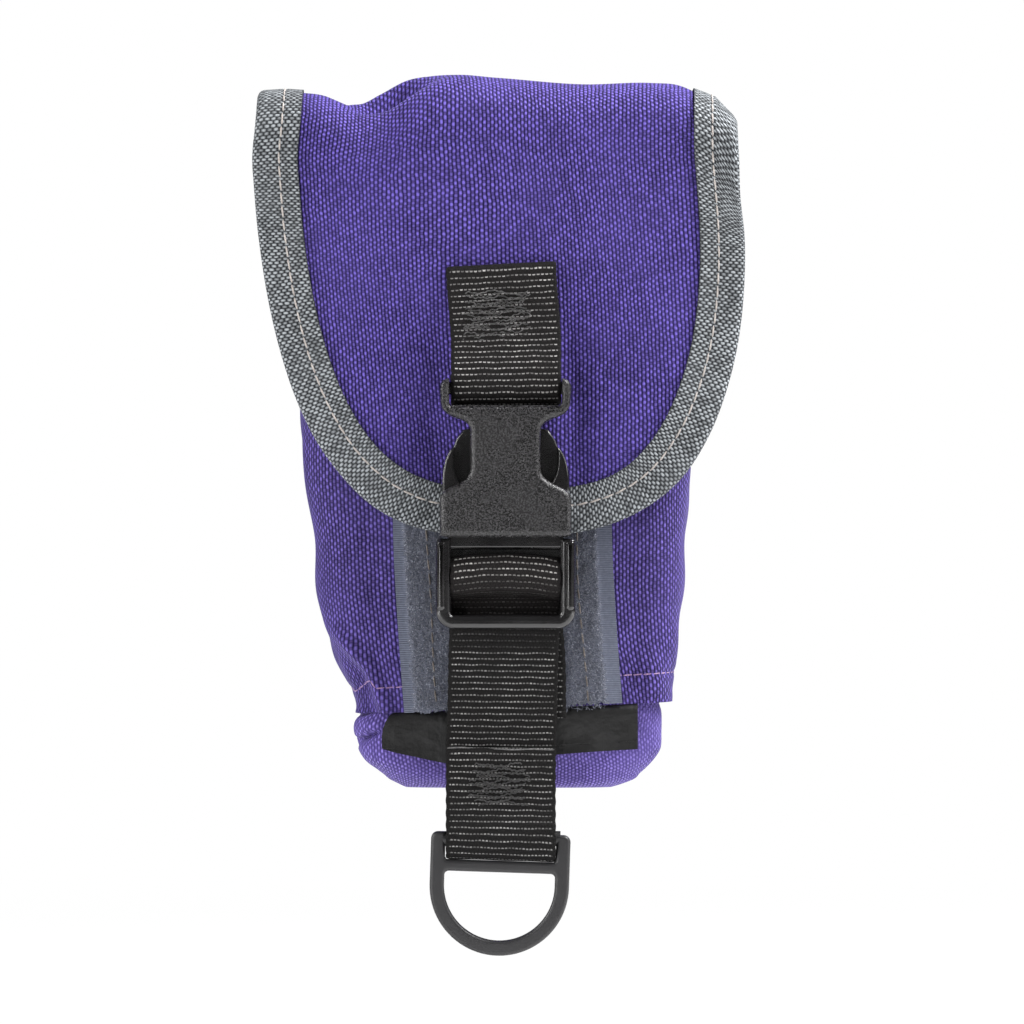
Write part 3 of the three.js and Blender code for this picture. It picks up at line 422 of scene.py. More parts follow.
def rows_of(items, field):
    """The (x, y, z) rows that Blender holds for vertices or faces."""
    values = np.zeros(len(items) * 3)
    items.foreach_get(field, values)
    return values.reshape(-1, 3)


def build(name, points, faces, material, uv=None, sharp=40, flip=None):
    """An object from points and arrays of faces, turned so that its faces look outward."""
    points = metres(points)
    if flip is None:
        whole = np.concatenate([f[:, [0, i, i + 1]] for f in faces for i in range(1, f.shape[1] - 1)])
        a, b, c = (points[whole[:, k]] for k in range(3))
        flip = np.einsum("ij,ij->i", a, np.cross(b, c)).sum() < 0
    lists = [row[::-1] if flip else row for f in faces for row in f.tolist()]
    mesh = bpy.data.meshes.new(name)
    mesh.from_pydata(points.tolist(), [], lists)
    if uv is not None:
        layer = mesh.uv_layers.new(name="cloth")
        corners = np.zeros(len(mesh.loops), int)
        mesh.loops.foreach_get("vertex_index", corners)
        layer.data.foreach_set("uv", uv[corners].astype(np.float32).ravel())
    return shown(name, mesh, material, sharp)


def numbered(rows, cols, start=0):
    return start + np.arange(rows * cols).reshape(rows, cols)


def looped(index):
    return np.hstack([index, index[:, :1]])


def quads(index):
    return np.stack([index[:-1, :-1], index[:-1, 1:], index[1:, 1:], index[1:, :-1]], -1).reshape(-1, 4)


def rim(first, second):
    return np.stack([first[:-1], first[1:], second[1:], second[:-1]], -1)


def slab(name, outer, inner, uv, material, sharp=40):
    """A closed solid between two grids of points."""
    front = numbered(*outer.shape[:2])
    back = front + front.size
    faces = [
        quads(front),
        quads(back)[:, ::-1],
        rim(back[0], front[0]),
        rim(front[-1], back[-1]),
        rim(front[:, 0], back[:, 0]),
        rim(back[:, -1], front[:, -1]),
    ]
    points = np.concatenate([outer.reshape(-1, 3), inner.reshape(-1, 3)])
    return build(name, points, faces, material, np.concatenate([uv.reshape(-1, 2)] * 2), sharp)


def sleeve(name, points, path, section):
    """Binding tape: a closed section carried along a path, from a grid of its points."""
    index = numbered(*points.shape[:2])
    faces = [quads(looped(index)), index[0][None, ::-1], index[-1][None, :]]
    uv = np.stack(np.meshgrid(run_along(section), run_along(path)), -1).reshape(-1, 2)
    return build(name, points.reshape(-1, 3), faces, BINDING, uv, 50)


def front_normals(grid):
    """Normals of a grid of points, turned so that those of its middle column face the front."""
    n = unit(np.cross(np.gradient(grid, axis=1), np.gradient(grid, axis=0)))
    return n * np.sign(-n[:, grid.shape[1] // 2, 1])[:, None, None]


def edged(made, edge, is_edge):
    """Give a second material to the faces whose middles, in millimetres, pass a test."""
    made.data.materials.append(edge)
    centres = rows_of(made.data.polygons, "center") * 1000 + ORIGIN
    made.data.polygons.foreach_set("material_index", is_edge(centres).astype(np.int32))
    return made


def tubes(name, lines, radius, material, sides=6):
    """Threads: each line is an array of points, and together they are one mesh."""
    points, faces, caps, start = [], [], [], 0
    turn = np.arange(sides) * 2 * math.pi / sides
    tiny = 1e-9
    for line in lines:
        t = np.gradient(line, axis=0)
        t /= np.linalg.norm(t, axis=1, keepdims=True) + tiny
        side = np.cross(t, (0.02, 1.0, 0.013))
        side /= np.linalg.norm(side, axis=1, keepdims=True) + tiny
        up = np.cross(side, t)
        thin = np.ones(len(line))
        thin[[0, -1]] = 0.5
        ring = side[:, None] * np.cos(turn)[None, :, None] + up[:, None] * np.sin(turn)[None, :, None]
        points.append((line[:, None] + ring * radius * thin[:, None, None]).reshape(-1, 3))
        index = numbered(len(line), sides, start)
        faces.append(quads(looped(index)))
        caps += [index[0][::-1], index[-1]]
        start += index.size
    faces = [np.concatenate(faces), np.array(caps)]
    return build(name, np.concatenate(points), faces, material, None, 60, False)


def spread(points, count):
    """A path's points again, evenly spaced, and how far along it each is."""
    points = np.asarray(points, float)
    run = run_along(points)
    places = np.linspace(0, run[-1], count)
    return at_places(places, run, points), places


def resample(points, step):
    return spread(points, max(int(round(run_along(points)[-1] / step)), 2) + 1)


def rounded(points, passes):
    """Corner cutting, which turns a polyline into a smooth bend."""
    points = np.asarray(points, float)
    for _ in range(passes):
        a = 0.75 * points[:-1] + 0.25 * points[1:]
        b = 0.25 * points[:-1] + 0.75 * points[1:]
        cut = np.stack([a, b], 1).reshape(-1, points.shape[1])
        points = np.concatenate([points[:1], cut, points[-1:]])
    return points


def arc(centre, radii, start, end, steps):
    angles = np.radians(np.linspace(start, end, steps + 1))
    return [(centre[0] + radii[0] * math.cos(a), centre[1] + radii[1] * math.sin(a)) for a in angles]


def stitches(name, path, normals, material, length, gap, radius, rise, seed=1):
    """A sewn line along a path of points on a surface with those normals."""
    run = run_along(path)
    rng = np.random.default_rng(seed)
    lines = []
    start = gap
    while start + length < run[-1]:
        size = length * rng.uniform(0.93, 1.05)
        spots = np.linspace(start, start + size, 6)
        base, out = at_places(spots, run, path), at_places(spots, run, normals)
        hump = np.sin(np.linspace(0, math.pi, 6)) ** 0.6 * rise - 0.12 + rng.uniform(-0.02, 0.02)
        drift = np.linspace(-1, 1, 6)[:, None] * np.cross(out, np.gradient(base, axis=0)) * 0.12
        lines.append(base + out * hump[:, None] + drift)
        start += size + gap
    return tubes(name, lines, radius, material)


def cut_out(shapes, middle, thickness, bevel, shift=(0.0, 0.0), tilt=0.0, pivot=(0, 0)):
    """A moulded plate from (x, z) outlines, the first solid and the rest holes, with soft edges."""
    curve = bpy.data.curves.new("plate", "CURVE")
    curve.dimensions = "2D"
    curve.fill_mode = "BOTH"
    curve.extrude = thickness / 2 - bevel
    curve.bevel_depth = bevel
    curve.bevel_resolution = 4
    curve.offset = -bevel
    for shape in shapes:
        spline = curve.splines.new("POLY")
        spline.points.add(len(shape) - 1)
        for point, (x, z) in zip(spline.points, shape):
            point.co = (x, z, 0, 1)
        spline.use_cyclic_u = True
    source = thing("plate", curve)
    flat = bpy.data.meshes.new_from_object(source.evaluated_get(bpy.context.evaluated_depsgraph_get()))
    bpy.data.objects.remove(source)
    x, z, y = rows_of(flat.vertices, "co").T
    c, s = math.cos(math.radians(tilt)), math.sin(math.radians(tilt))
    dx, dz = x - pivot[0], z - pivot[1]
    x, z = pivot[0] + dx * c - dz * s + shift[0], pivot[1] + dx * s + dz * c + shift[1]
    flat.vertices.foreach_set("co", metres(np.stack([x, middle - y, z], 1)).ravel())
    return flat


def rod(x_half, middle, radii):
    """A bar along X with an elliptic (y, z) section, as a mesh."""
    sides = 32
    ring = [(0, *point) for point in arc(middle, radii, 0, 360, sides)[:-1]]
    xs = np.linspace(-x_half, x_half, 7)
    points = np.concatenate([np.array(ring) + (x, 0, 0) for x in xs])
    index = numbered(len(xs), sides)
    faces = quads(looped(index)).tolist() + [index[0][::-1].tolist(), index[-1].tolist()]
    mesh = bpy.data.meshes.new("rod")
    mesh.from_pydata(metres(points).tolist(), [], faces)
    return mesh


def shifted(mesh, x):
    for vertex in mesh.vertices:
        vertex.co.x += x / 1000
    return mesh


def joined(name, meshes, material):
    """Meshes as one object with clean shading on its flat faces."""
    made = bmesh.new()
    for mesh in meshes:
        made.from_mesh(mesh)
    bmesh.ops.remove_doubles(made, verts=made.verts, dist=1e-6)
    mesh = bpy.data.meshes.new(name)
    made.to_mesh(mesh)
    made.free()
    mesh.materials.clear()
    whole = shown(name, mesh, material, 35)
    whole.modifiers.new("flats", "WEIGHTED_NORMAL").keep_sharp = True
    return whole


def place(piece, body, *nodes, slot=None):
    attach(piece, body)
    if nodes:
        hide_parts(*nodes)
    return piece


# Flap

FLAP_FRONT = -31.9
CROWN_BASE = 150.2
CROWN_TOP = 162.0
FRONT_TOP = 141.0
TAPE_SHOWN = 10.0
FLAP_EDGE = 55.2
FLAP_TIP = 57.7
CURVE_START = 135.0

# Height of the crown across the flap: the left shoulder dips and the right one falls away.
CROWN = (
    (-56, 158.2), (-50, 158.7), (-45, 158.6), (-41, 158.2), (-37, 157.1), (-32, 156.5),
    (-27, 158.9), (-21, 162.0), (-15, 163.0), (0, 162.1), (20, 160.6), (36, 160.9),
    (42, 160.4), (47, 158.3), (51, 156.5), (55, 151.6),
)
# Sideways shift of the flap's middle at each height.
FLAP_LEAN = (
    (57, 0.7), (63, 1.6), (68, 2.1), (79, 1.9), (88, 1.6), (102, 1.1), (115, 0.4), (129, -0.5),
    (140, -1.2), (147, -1.6), (154, -1.4), (162, -1.3),
)
SHOULDER = -24.0
SHOULDER_RIDGE = ((-42, 156), (-33, 149), (-26, 150), (-17, 155))


def crown_profile():
    """The flap's (y, z) line from the hinge over the crown and down, and the run along it."""
    y_mid = (HINGE[0] + FLAP_FRONT) / 2
    half = (HINGE[0] - FLAP_FRONT) / 2
    angles = np.radians(np.linspace(0, 180, 61))
    c, s = np.cos(angles), np.maximum(np.sin(angles), 0)
    power = 2 / 2.3
    y = y_mid + half * np.sign(c) * np.abs(c) ** power
    z = CROWN_BASE + (CROWN_TOP - CROWN_BASE) * s**power
    return resample(np.concatenate([[HINGE], np.stack([y, z], 1), [(FLAP_FRONT, 130.0)]]), 0.5)


PROFILE, PROFILE_PLACES = crown_profile()
# The run at which the front begins, looked up past the rise of the profile.
PAST_RISE = 40
FRONT_START = float(np.interp(-FRONT_TOP, -PROFILE[PAST_RISE:, 1], PROFILE_PLACES[PAST_RISE:]))
FLAP_LENGTH = FRONT_START + FRONT_TOP - FLAP_TIP


def flap_half(z):
    """Half the flap's width at a height on its front."""
    drop = np.clip((CURVE_START - z) / (CURVE_START - FLAP_TIP), 0, 1)
    return FLAP_EDGE * (1 - drop**2.2) ** (1 / 2.95)


def flap_middle(x, q):
    """The middle of the flap's cloth at x across it and q along it from the hinge."""
    x, q = np.broadcast_arrays(np.asarray(x, float), np.asarray(q, float))
    y0 = np.interp(q, PROFILE_PLACES, PROFILE[:, 0])
    z0 = np.where(q < FRONT_START, np.interp(q, PROFILE_PLACES, PROFILE[:, 1]), FRONT_TOP - (q - FRONT_START))

    # The crown: its line across the flap, the folded left shoulder and the drop behind it.
    over = fade(q, 0.5, 18.0) * (1 - fade(q, FRONT_START - 8, FRONT_START + 22))
    front_share = fade(y0, -11.5, -17.5)
    shoulder = hill((x, SHOULDER, 8.0))
    lift = bend(x, CROWN) - CROWN_TOP
    fold = -4.9 * shoulder * front_share
    back_drop = -4.0 * fade(-x, 33.0, 41.0) * (1 - front_share)
    lip = shoulder * (1.2 * hill((y0, -27, 3.0)) - 3.4 * hill((y0, -19.5, 3.2)))
    z = z0 + over * (lift + fold) + over * back_drop + lip

    # The front: it recedes at the sides, and is creased, hollow and full in turn.
    on_front = fade(q, FRONT_START - 24, FRONT_START - 2)
    recede = 4.2 * np.clip((np.abs(x) - 12) / 42, 0, None) ** 2 * fade(z, 62.0, 100.0)
    ridge, share = from_line(SHOULDER_RIDGE, x, z0)
    hollow = hill((x, -27, 12), (z, 136, 10))
    bulge = hill((x, 38, 11), (z, 132, 16))
    pulled = 1.7 * hill((x, -16.5, 6.5)) + 1.4 * hill((x, 14.5, 3.6))
    y = y0 + recede * on_front
    y = y + on_front * 0.35 * ripple(x, z, 34, 3) * fade(np.abs(x), 13, 24) * fade(z, 60, 80)
    y = y - on_front * 0.9 * hill((ridge, 0, 2.6)) * np.sin(math.pi * share)
    y = y + on_front * (1.3 * hollow - 1.1 * bulge)
    y = y + on_front * pulled * fade(z, 66, 78) * (1 - fade(z, 98, 118))
    y = y + on_front * 0.8 * hill((x, -30, 10), (z, 92, 14))
    narrowing = (1 - 0.013 * fade(z0, 146, 160)) * (1 - 0.17 * (1 - fade(q, 0, 14)))
    return np.stack([x * narrowing + bend(z0, FLAP_LEAN), y, z], -1)


def flap_point(x, q, height):
    """Points of the flap, `height` out from the middle of its cloth, and its normals there."""
    height = height * (0.42 + 0.58 * fade(np.asarray(q, float), 1.0, 10.0))
    step = 0.3
    across = flap_middle(x + step, q) - flap_middle(x - step, q)
    along = flap_middle(x, q + step) - flap_middle(x, q - step)
    n = unit(np.cross(along, across))
    return flap_middle(x, q) + n * height[..., None], n


def flap_rows(start, tip_gap):
    last = FLAP_LENGTH - tip_gap
    straight = FRONT_START + FRONT_TOP - CURVE_START
    shares = np.sin(np.linspace(0, math.pi / 2, 110)) ** (2 / 2.4)
    return np.concatenate([np.linspace(start, straight, 110)[:-1], straight + (last - straight) * shares])


def flap_width(q):
    """Half the flap's width at a run along it."""
    z = FRONT_TOP - (q - FRONT_START)
    return np.where(q < FRONT_START, FLAP_EDGE, flap_half(np.minimum(z, CURVE_START)))


def flap_layer(name, low, high, start, tip_gap, material):
    q = flap_rows(start, tip_gap)
    x = flap_width(q)[:, None] * np.linspace(-1, 1, 141)[None, :]
    q = np.broadcast_to(q[:, None], x.shape)
    outer, _ = flap_point(x, q, high)
    inner, _ = flap_point(x, q, low)
    row = np.where(q > FRONT_START / 2, FRONT_START + FRONT_TOP - flap_middle(x, q)[..., 2], q)
    row = q + (row - q) * fade(q, FRONT_START - 22, FRONT_START - 4)
    drift = np.stack([x + 1.6 * ripple(x, q, 70, 5), row + 2.0 * ripple(x, q, 60, 6)], -1)
    return slab(name, outer, inner, drift, material)


def flap_edge():
    """The outline of the flap as (x, q) points with outward directions, right to left."""
    q_side = np.linspace(1.6, FRONT_START + FRONT_TOP - CURVE_START, 70)[:-1]
    angles = np.linspace(0, math.pi / 2, 80)[:-1]
    z = CURVE_START - (CURVE_START - FLAP_TIP) * np.sin(angles) ** 0.85
    side = np.stack([np.full(len(q_side), FLAP_EDGE), q_side], 1)
    curve = np.stack([flap_half(z), FRONT_START + FRONT_TOP - z], 1)
    right = np.concatenate([side, curve])
    path, _ = resample(np.concatenate([right, [[0.0, FLAP_LENGTH]], right[::-1] * (-1, 1)]), 0.8)
    t = unit(np.gradient(path, axis=0))
    for _ in range(3):
        t[1:-1] = (t[:-2] + t[1:-1] * 2 + t[2:]) / 4
    t = unit(t)
    return path, np.stack([t[:, 1], -t[:, 0]], 1)


def flap_tape():
    """The binding folded over the flap's edge, and its stitches on both sides."""
    path, outward = flap_edge()
    face = CLOTH / 2 + SEAM / 2
    back = CLOTH / 2 + SEAM + TAPE + SEAM
    top = face + TAPE
    groove = [(-6.4, top + 0.1), (-5.8, top - 0.12), (-5.2, top + 0.12), (-1.6, top + 0.15)]
    turn = np.linspace(0, math.pi, 9)
    outside = [(-1.0 + 1.6 * math.sin(a), -0.35 + (top + 0.5) * math.cos(a)) for a in turn]
    behind = [(-1.6, -back - TAPE), (-TAPE_SHOWN, -back - TAPE), (-TAPE_SHOWN, -back)]
    turn = np.linspace(math.pi, 0, 7)
    inside = [(-1.0 + 1.0 * math.sin(a), -0.35 + (face + 0.2) * math.cos(a)) for a in turn]
    section = np.array([(-TAPE_SHOWN, face), (-TAPE_SHOWN, top)] + groove + outside + behind + inside)
    xq = path[:, None, :] + outward[:, None, :] * section[None, :, :1]
    points, _ = flap_point(xq[..., 0], xq[..., 1], section[None, :, 1])
    tape = sleeve("flap_edge_tape", points, path, section)
    x, q = (path - outward * 5.8)[path[:, 1] > 4.5].T
    line, out = flap_point(x, q, top)
    seam = stitches("flap_edge_stitches", line, out, PALE_THREAD, 2.6, 0.5, 0.2, 0.2)
    under, below = flap_point(x, q, -back - TAPE)
    rear = stitches("flap_edge_stitches_rear", under, -below, PALE_THREAD, 2.6, 0.5, 0.2, 0.2, 5)
    return tape, seam, rear


shell = flap_layer("flap_cloth", -CLOTH / 2, CLOTH / 2, 0.0, 0.0, PURPLE)
place(shell, "flap", "flap_shell", slot="shell_cloth")
lining = flap_layer("flap_lining_cloth", -CLOTH / 2 - SEAM - TAPE, -CLOTH / 2 - SEAM, 4.0, 0.8, LINING)
place(lining, "flap", "flap_lining", slot="lining_cloth")
tape, seam, rear = flap_tape()
place(tape, "flap", "flap_binding", slot="binding_tape")
place(seam, "flap", slot="thread")
place(rear, "flap", slot="thread")


# Bag

# Sides of the bag at each height: left and right edges.
BAG_SIDES = (
    (0, -30.4, 34.6), (17, -33.8, 39.4), (20, -34.2, 39.3), (23.4, -35.4, 39.7), (27, -37.1, 40.1),
    (30, -38.6, 40.5), (37, -40.6, 40.9), (44, -42.2, 41.4), (57.5, -43.5, 41.9), (71, -45.5, 42.9),
    (90, -46.7, 44.0), (120, -45.7, 44.4), (148, -45.1, 44.6),
)
BASE_SIDES = (
    (-0.9, -22.5, 25.0), (0.0, -24.3, 27.8), (0.9, -26.0, 30.1), (2.5, -27.4, 31.6), (4.5, -29.1, 33.3),
    (6.4, -31.2, 34.8), (8.2, -32.8, 36.0), (10.0, -33.6, 36.4), (11.8, -33.9, 36.5), (14.0, -33.6, 36.6),
    (15.5, -33.0, 36.6), (17.2, -32.6, 36.4), (18.4, -32.3, 36.0), (24, -32.3, 36.0),
)
MOUTH = 143.0
FRONT = -27.0
HEM = 17.5
# Height of the seam above the hem at the left, and how much more it is at the right.
HEM_SEAM, HEM_SEAM_RISE = 5.6, 1.15
BASE_TOP = 20.5
BASE_ROUND = 18.0
BASE_FLOOR = -0.9
BODY_CREASE = ((-40.0, 39.5), (-37.7, 35.7), (-33.9, 31.0), (-30.7, 27.2), (-28.3, 21.8), (-26.4, 17.0))
BASE_NOTCH = ((-36.0, 9.6), (-33.0, 10.0), (-30.0, 11.6), (-26.0, 12.6))
BASE_PINCH = ((-36.0, 16.4), (-32.0, 16.9), (-27.0, 18.4))


def sides_at(z, table):
    """The left and right edges at a height."""
    return (bend(z, [(row[0], row[column]) for row in table]) for column in (1, 2))


def bag_outline(left, right, front, corner_l, corner_r, back=-0.3):
    """Points round three sides of the bag, from the back left edge to the back right edge."""
    turn = np.radians(np.linspace(0, 90, 13))
    depth = min(9.5, (back - front) * 0.45)

    def corner(edge, inward, y, outward, angles):
        return [(edge + inward * (1 - math.cos(a)), y + outward * (1 - math.sin(a))) for a in angles]

    return (
        corner(left, 2.0, back, -2.0, turn[::-3])
        + corner(left, corner_l, front, depth, turn)
        + corner(right, -corner_r, front, depth, turn[::-1])
        + corner(right, -2.0, back, -2.0, turn[::3])
    )


def hem_share(x):
    """How far from the hem's left end to its right end x is."""
    return (x + 33) / 71


def hem_height(x):
    return 16.6 + 2.556 * hem_share(x)


def wrap_cloth():
    """The front and both gussets: a grid of points, its normals and where it is on the cloth."""
    heights = np.linspace(0, 1, 120) ** 1.25
    columns = 250
    grid, uv = np.zeros((120, columns, 3)), np.zeros((120, columns, 2))
    for row, share in enumerate(heights):
        z = HEM + (MOUTH - HEM) * share
        outline, places = spread(bag_outline(*sides_at(z, BAG_SIDES), FRONT + 0.4, 10.5, 8.5), columns)
        grid[row] = np.column_stack([outline, z + (hem_height(outline[:, 0]) - HEM) * (1 - share)])
        uv[row] = np.column_stack([places - places[-1] / 2, np.full(columns, z)])
    u, v = uv[..., 0], uv[..., 1]
    uv = (uv + np.stack([1.2 * ripple(u, v, 70, 15), 1.5 * ripple(u, v, 60, 16)], -1)) * (1.07, 0.86)
    for _ in range(2):
        grid[:, 1:-1, :2] = (grid[:, :-2, :2] + 2 * grid[:, 1:-1, :2] + grid[:, 2:, :2]) / 4
    x, y, z = np.moveaxis(grid, -1, 0)
    n = front_normals(grid)
    front = fade(-y, 14, 25)
    fold, share = from_line(BODY_CREASE, x, z)
    crease = fade(share, 0.0, 0.35) * (2.0 * hill((fold, 0, 1.5)) - 1.5 * hill((fold, 4.0, 2.4)))
    crease = crease * fade(-y, 8, 16) * (x < -12)
    flat_patch = fade(np.abs(x), 26, 34)
    soft = 0.45 * ripple(x + y, z, 30, 11) * flat_patch + 0.5 * ripple(y, z, 22, 12) * (1 - front)
    low = 0.5 * ripple(x * 1.4, z, 13, 14) * flat_patch * (1 - fade(z, 24, 46))
    hem = (0.3 - 0.5 * fade(x, 30, 35)) * hill((z, hem_height(x), 0.8))
    over_seam = z - hem_height(x) - HEM_SEAM - HEM_SEAM_RISE * hem_share(x)
    bulge = 0.75 * (1 - fade(np.abs(x), 23.5, 31)) * front * (1 - fade(z, 104, 125))
    held = (crease + soft + low) * fade(z, MOUTH, MOUTH - 12)
    grid = grid + n * (held + hem - 0.3 * hill((over_seam, 0, 0.8)) + bulge)[..., None]
    return grid, front_normals(grid), uv


wrap, wrap_normals, wrap_uv = wrap_cloth()
bag_wrap = slab("bag_wrap", wrap, wrap - wrap_normals * CLOTH, wrap_uv, PURPLE_BODY)
place(bag_wrap, "pouch", "front_panel", "gusset_left", "gusset_right", slot="shell_cloth")


def wrap_row(height, rise):
    """Points and normals along the wrap at a height above its hem that grows to the right."""
    x = wrap[..., 0]
    z = hem_height(x) + height + rise * hem_share(x)
    z = z + np.where(x < -29.4, 2.4 * fade(x, -34.2, -30.2) - 0.6, 0) * fade(-wrap[..., 1], 12, 19)
    rows = np.argmin(np.abs(wrap[..., 2] - z), axis=0)
    cols = np.arange(wrap.shape[1])
    above = np.minimum(rows + 1, wrap.shape[0] - 1)
    gap = wrap[above, cols, 2] - wrap[rows, cols, 2]
    share = np.clip((z[rows, cols] - wrap[rows, cols, 2]) / np.where(gap > 0, gap, 1), -1, 1)[:, None]
    return wrap[rows, cols] * (1 - share) + wrap[above, cols] * share, wrap_normals[rows, cols]


line, out = wrap_row(HEM_SEAM, HEM_SEAM_RISE)
place(stitches("hem_stitches", line, out, PINK_THREAD, 2.2, 0.1, 0.15, 0.2, 8), "pouch", slot="thread")


def base_cloth():
    """The base: a short wall under the hem, then a quarter round, then flat to its middle."""
    columns = 260
    turns = np.linspace(0, math.pi / 2, 60)[1:]
    rings = [(BASE_TOP - 0.5 * k, 0.0) for k in range(6)]
    rings += [((BASE_ROUND - BASE_FLOOR) * (1 - math.sin(a)) + BASE_FLOOR, a) for a in turns]
    grid, uv, run = [], [], 0.0
    for z, a in rings:
        front = -12.5 - 12.9 * math.cos(a) ** 0.9 if a else -25.4
        corner = 9.0 + 3.0 * math.sin(a)
        outline, places = spread(bag_outline(*sides_at(z, BASE_SIDES), front, corner, corner, -0.95), columns)
        grid.append(np.column_stack([outline, np.full(columns, z)]))
        run += BASE_ROUND * math.pi / 2 / len(turns) if a else 0.5
        uv.append(np.column_stack([places - places[-1] / 2, np.full(columns, -run)]))
    n = front_normals(np.array(grid))
    last = grid[-1]
    centre_y = (last[:, 1].min() + last[:, 1].max()) / 2
    middle = np.column_stack([last[:, 0] * 0.85, np.full(columns, centre_y), last[:, 2]])
    for share in (0.3, 0.6, 0.85, 1.0):
        ring = last * (1 - share) + middle * share
        ring[:, 2] = BASE_FLOOR - 0.02
        grid.append(ring)
        uv.append(uv[-1] + (0, -2.0))
    grid, uv = np.array(grid), np.array(uv)
    x, y, z = np.moveaxis(grid, -1, 0)
    pad = np.concatenate([n, np.tile([0.0, 0.0, -1.0], (4, columns, 1))])
    notch, share = from_line(BASE_NOTCH, x, z)
    pinch, _ = from_line(BASE_PINCH, x, z)
    dent = -2.8 * hill((notch, 0, 0.75)) * (1 - fade(share, 0.5, 1.0)) - 1.6 * hill((pinch, 0, 0.9))
    puff = 1.0 * hill((x, -30, 4), (z, 13.6, 2.2)) + 0.8 * hill((x, -28, 5), (z, 6.5, 2.6))
    soft = 0.5 * ripple(x, z * 2, 24, 21) * fade(z, 19, 12)
    move = (dent + puff) * fade(-y, 4, 10) * (x < -18) + soft * fade(z, BASE_FLOOR, 3.0)
    return grid + pad * move[..., None], pad, uv


base, base_normals, base_uv = base_cloth()
bag_base = slab("bag_base", base, base - base_normals * CLOTH, base_uv, PURPLE_BASE)
place(bag_base, "pouch", "base_panel", slot="shell_cloth")


BACK_HEIGHTS = np.linspace(0.6, 148, 70)


def back_cloth():
    """The back panel, which follows the base below the hem and the bag above it."""
    grid = np.zeros((70, 41, 3))
    for row, z in enumerate(BACK_HEIGHTS):
        low, high = fade(z, 15.5, 18.0), fade(z, 18.4, 20.6)
        (base_left, base_right), (bag_left, bag_right) = sides_at(z, BASE_SIDES), sides_at(z, BAG_SIDES)
        left = (1 - low) * base_left + low * bag_left + 0.9
        right = (1 - high) * base_right + high * bag_right - 0.9
        x = left + (right - left) * (np.linspace(-1, 1, 41) + 1) / 2
        grid[row] = np.column_stack([x, np.zeros(41), np.full(41, z)])
    x, z = grid[..., 0], grid[..., 2]
    grid[..., 1] = -0.1 + 0.12 * ripple(x, z, 30, 31) - 0.5 * fade(np.abs(x), 38, 44)
    return grid, slab("bag_back", grid, grid - (0, CLOTH, 0), np.stack([x, z], -1), PURPLE_BODY)


back_grid, bag_back = back_cloth()
place(bag_back, "pouch", "back_panel", slot="shell_cloth")
for hand, column in (("left", 3), ("right", -4)):
    line = back_grid[8:-1, column]
    out = np.tile([0.0, 1.0, 0.0], (len(line), 1))
    sewn = stitches(f"back_stitches_{hand}", line, out, PINK_THREAD, 3.0, 0.5, 0.16, 0.16, 9)
    place(sewn, "pouch", slot="thread")


def rim_tape():
    """Tape folded over the rim of the mouth, and its stitches."""
    row = wrap[-1, 6:-6] - wrap_normals[-1, 6:-6] * CLOTH / 2
    n = unit(wrap_normals[-1, 6:-6] * (1, 1, 0))
    t, w = 0.75, 1.35
    turn = np.linspace(0.2, math.pi - 0.2, 9)
    section = [(w, -7.0), (w + 0.05, -1.0)]
    section += [(w * math.cos(a), w * 0.9 * math.sin(a) - 0.4) for a in turn]
    section += [(-w - 0.05, -1.0), (-w, -7.0), (-t, -7.0), (-t, 0.1), (t, 0.1), (t, -7.0)]
    section = np.array(section)
    points = row[:, None] + n[:, None] * section[None, :, :1]
    points[..., 2] = MOUTH + section[None, :, 1]
    made = sleeve("mouth_tape", points, row, section)
    line = row + n * w
    line[:, 2] = MOUTH - 4.6
    return made, stitches("mouth_stitches", line, n, PALE_THREAD, 2.6, 0.5, 0.18, 0.16, 12)


mouth_tape, mouth_sewn = rim_tape()
place(mouth_tape, "pouch", "mouth_binding", slot="binding_tape")
place(mouth_sewn, "pouch", slot="thread")


# Touch fastener and label


def patch_middle(z):
    return bend(z, [(17, 2.4), (36, 1.0), (57, -0.1), (80, 0.0), (106, 0.0)])


def pile_patch(name, z_low, z_high, face, thick, seed):
    """A strip of touch fastener: flat ribbed selvedges and a napped middle."""
    rows, cols = int((z_high - z_low) / 0.45), 130
    half = WIDE_WIDTH / 2
    gx, gz = np.meshgrid(np.linspace(-half, half, cols), np.linspace(z_low, z_high, rows))
    rng = np.random.default_rng(seed)
    start = np.where(gx < 0, 2.0, 3.1) + 0.35 * ripple(gx * 0, gz, 2.2, seed + 1)
    start = start + 0.25 * rng.uniform(-1, 1, (rows, 1))
    nap = fade(half - np.abs(gx), start, start + 0.8)
    ragged = rng.uniform(-1, 1, (rows, cols))
    relief = nap * (0.55 + 0.3 * ragged + 0.15 * ripple(gx, gz, 3.0, seed)) * thick * 0.5
    ragged_end = 0.5 * rng.uniform(-1, 1, cols) * nap[0]
    gz = gz + ragged_end[None, :] * (1 - fade(gz, z_low, z_low + 1.0))
    gz = gz + 0.045 * gx * (1 - fade(gz, z_low, z_low + 12))
    x = gx + patch_middle(gz)
    outer = np.stack([x, face + thick * 0.55 - relief, gz], -1)
    inner = np.stack([x, np.full(gx.shape, face + thick), gz], -1)

    def is_edge(centres):
        across = centres[:, 0] - patch_middle(centres[:, 2])
        wander = 0.35 * ripple(across * 0, centres[:, 2], 1.6, seed + 2)
        return np.abs(across) > np.where(across < 0, 22.7, 21.6) + wander

    return edged(slab(name, outer, inner, np.stack([gx, gz], -1), PILE, 80), SELVEDGE, is_edge)


loop_pile = pile_patch("loop_pile", 17.9, 106, -28.7, 1.4, 41)
place(loop_pile, "pouch", "loop_patch", slot="touch_fastener")


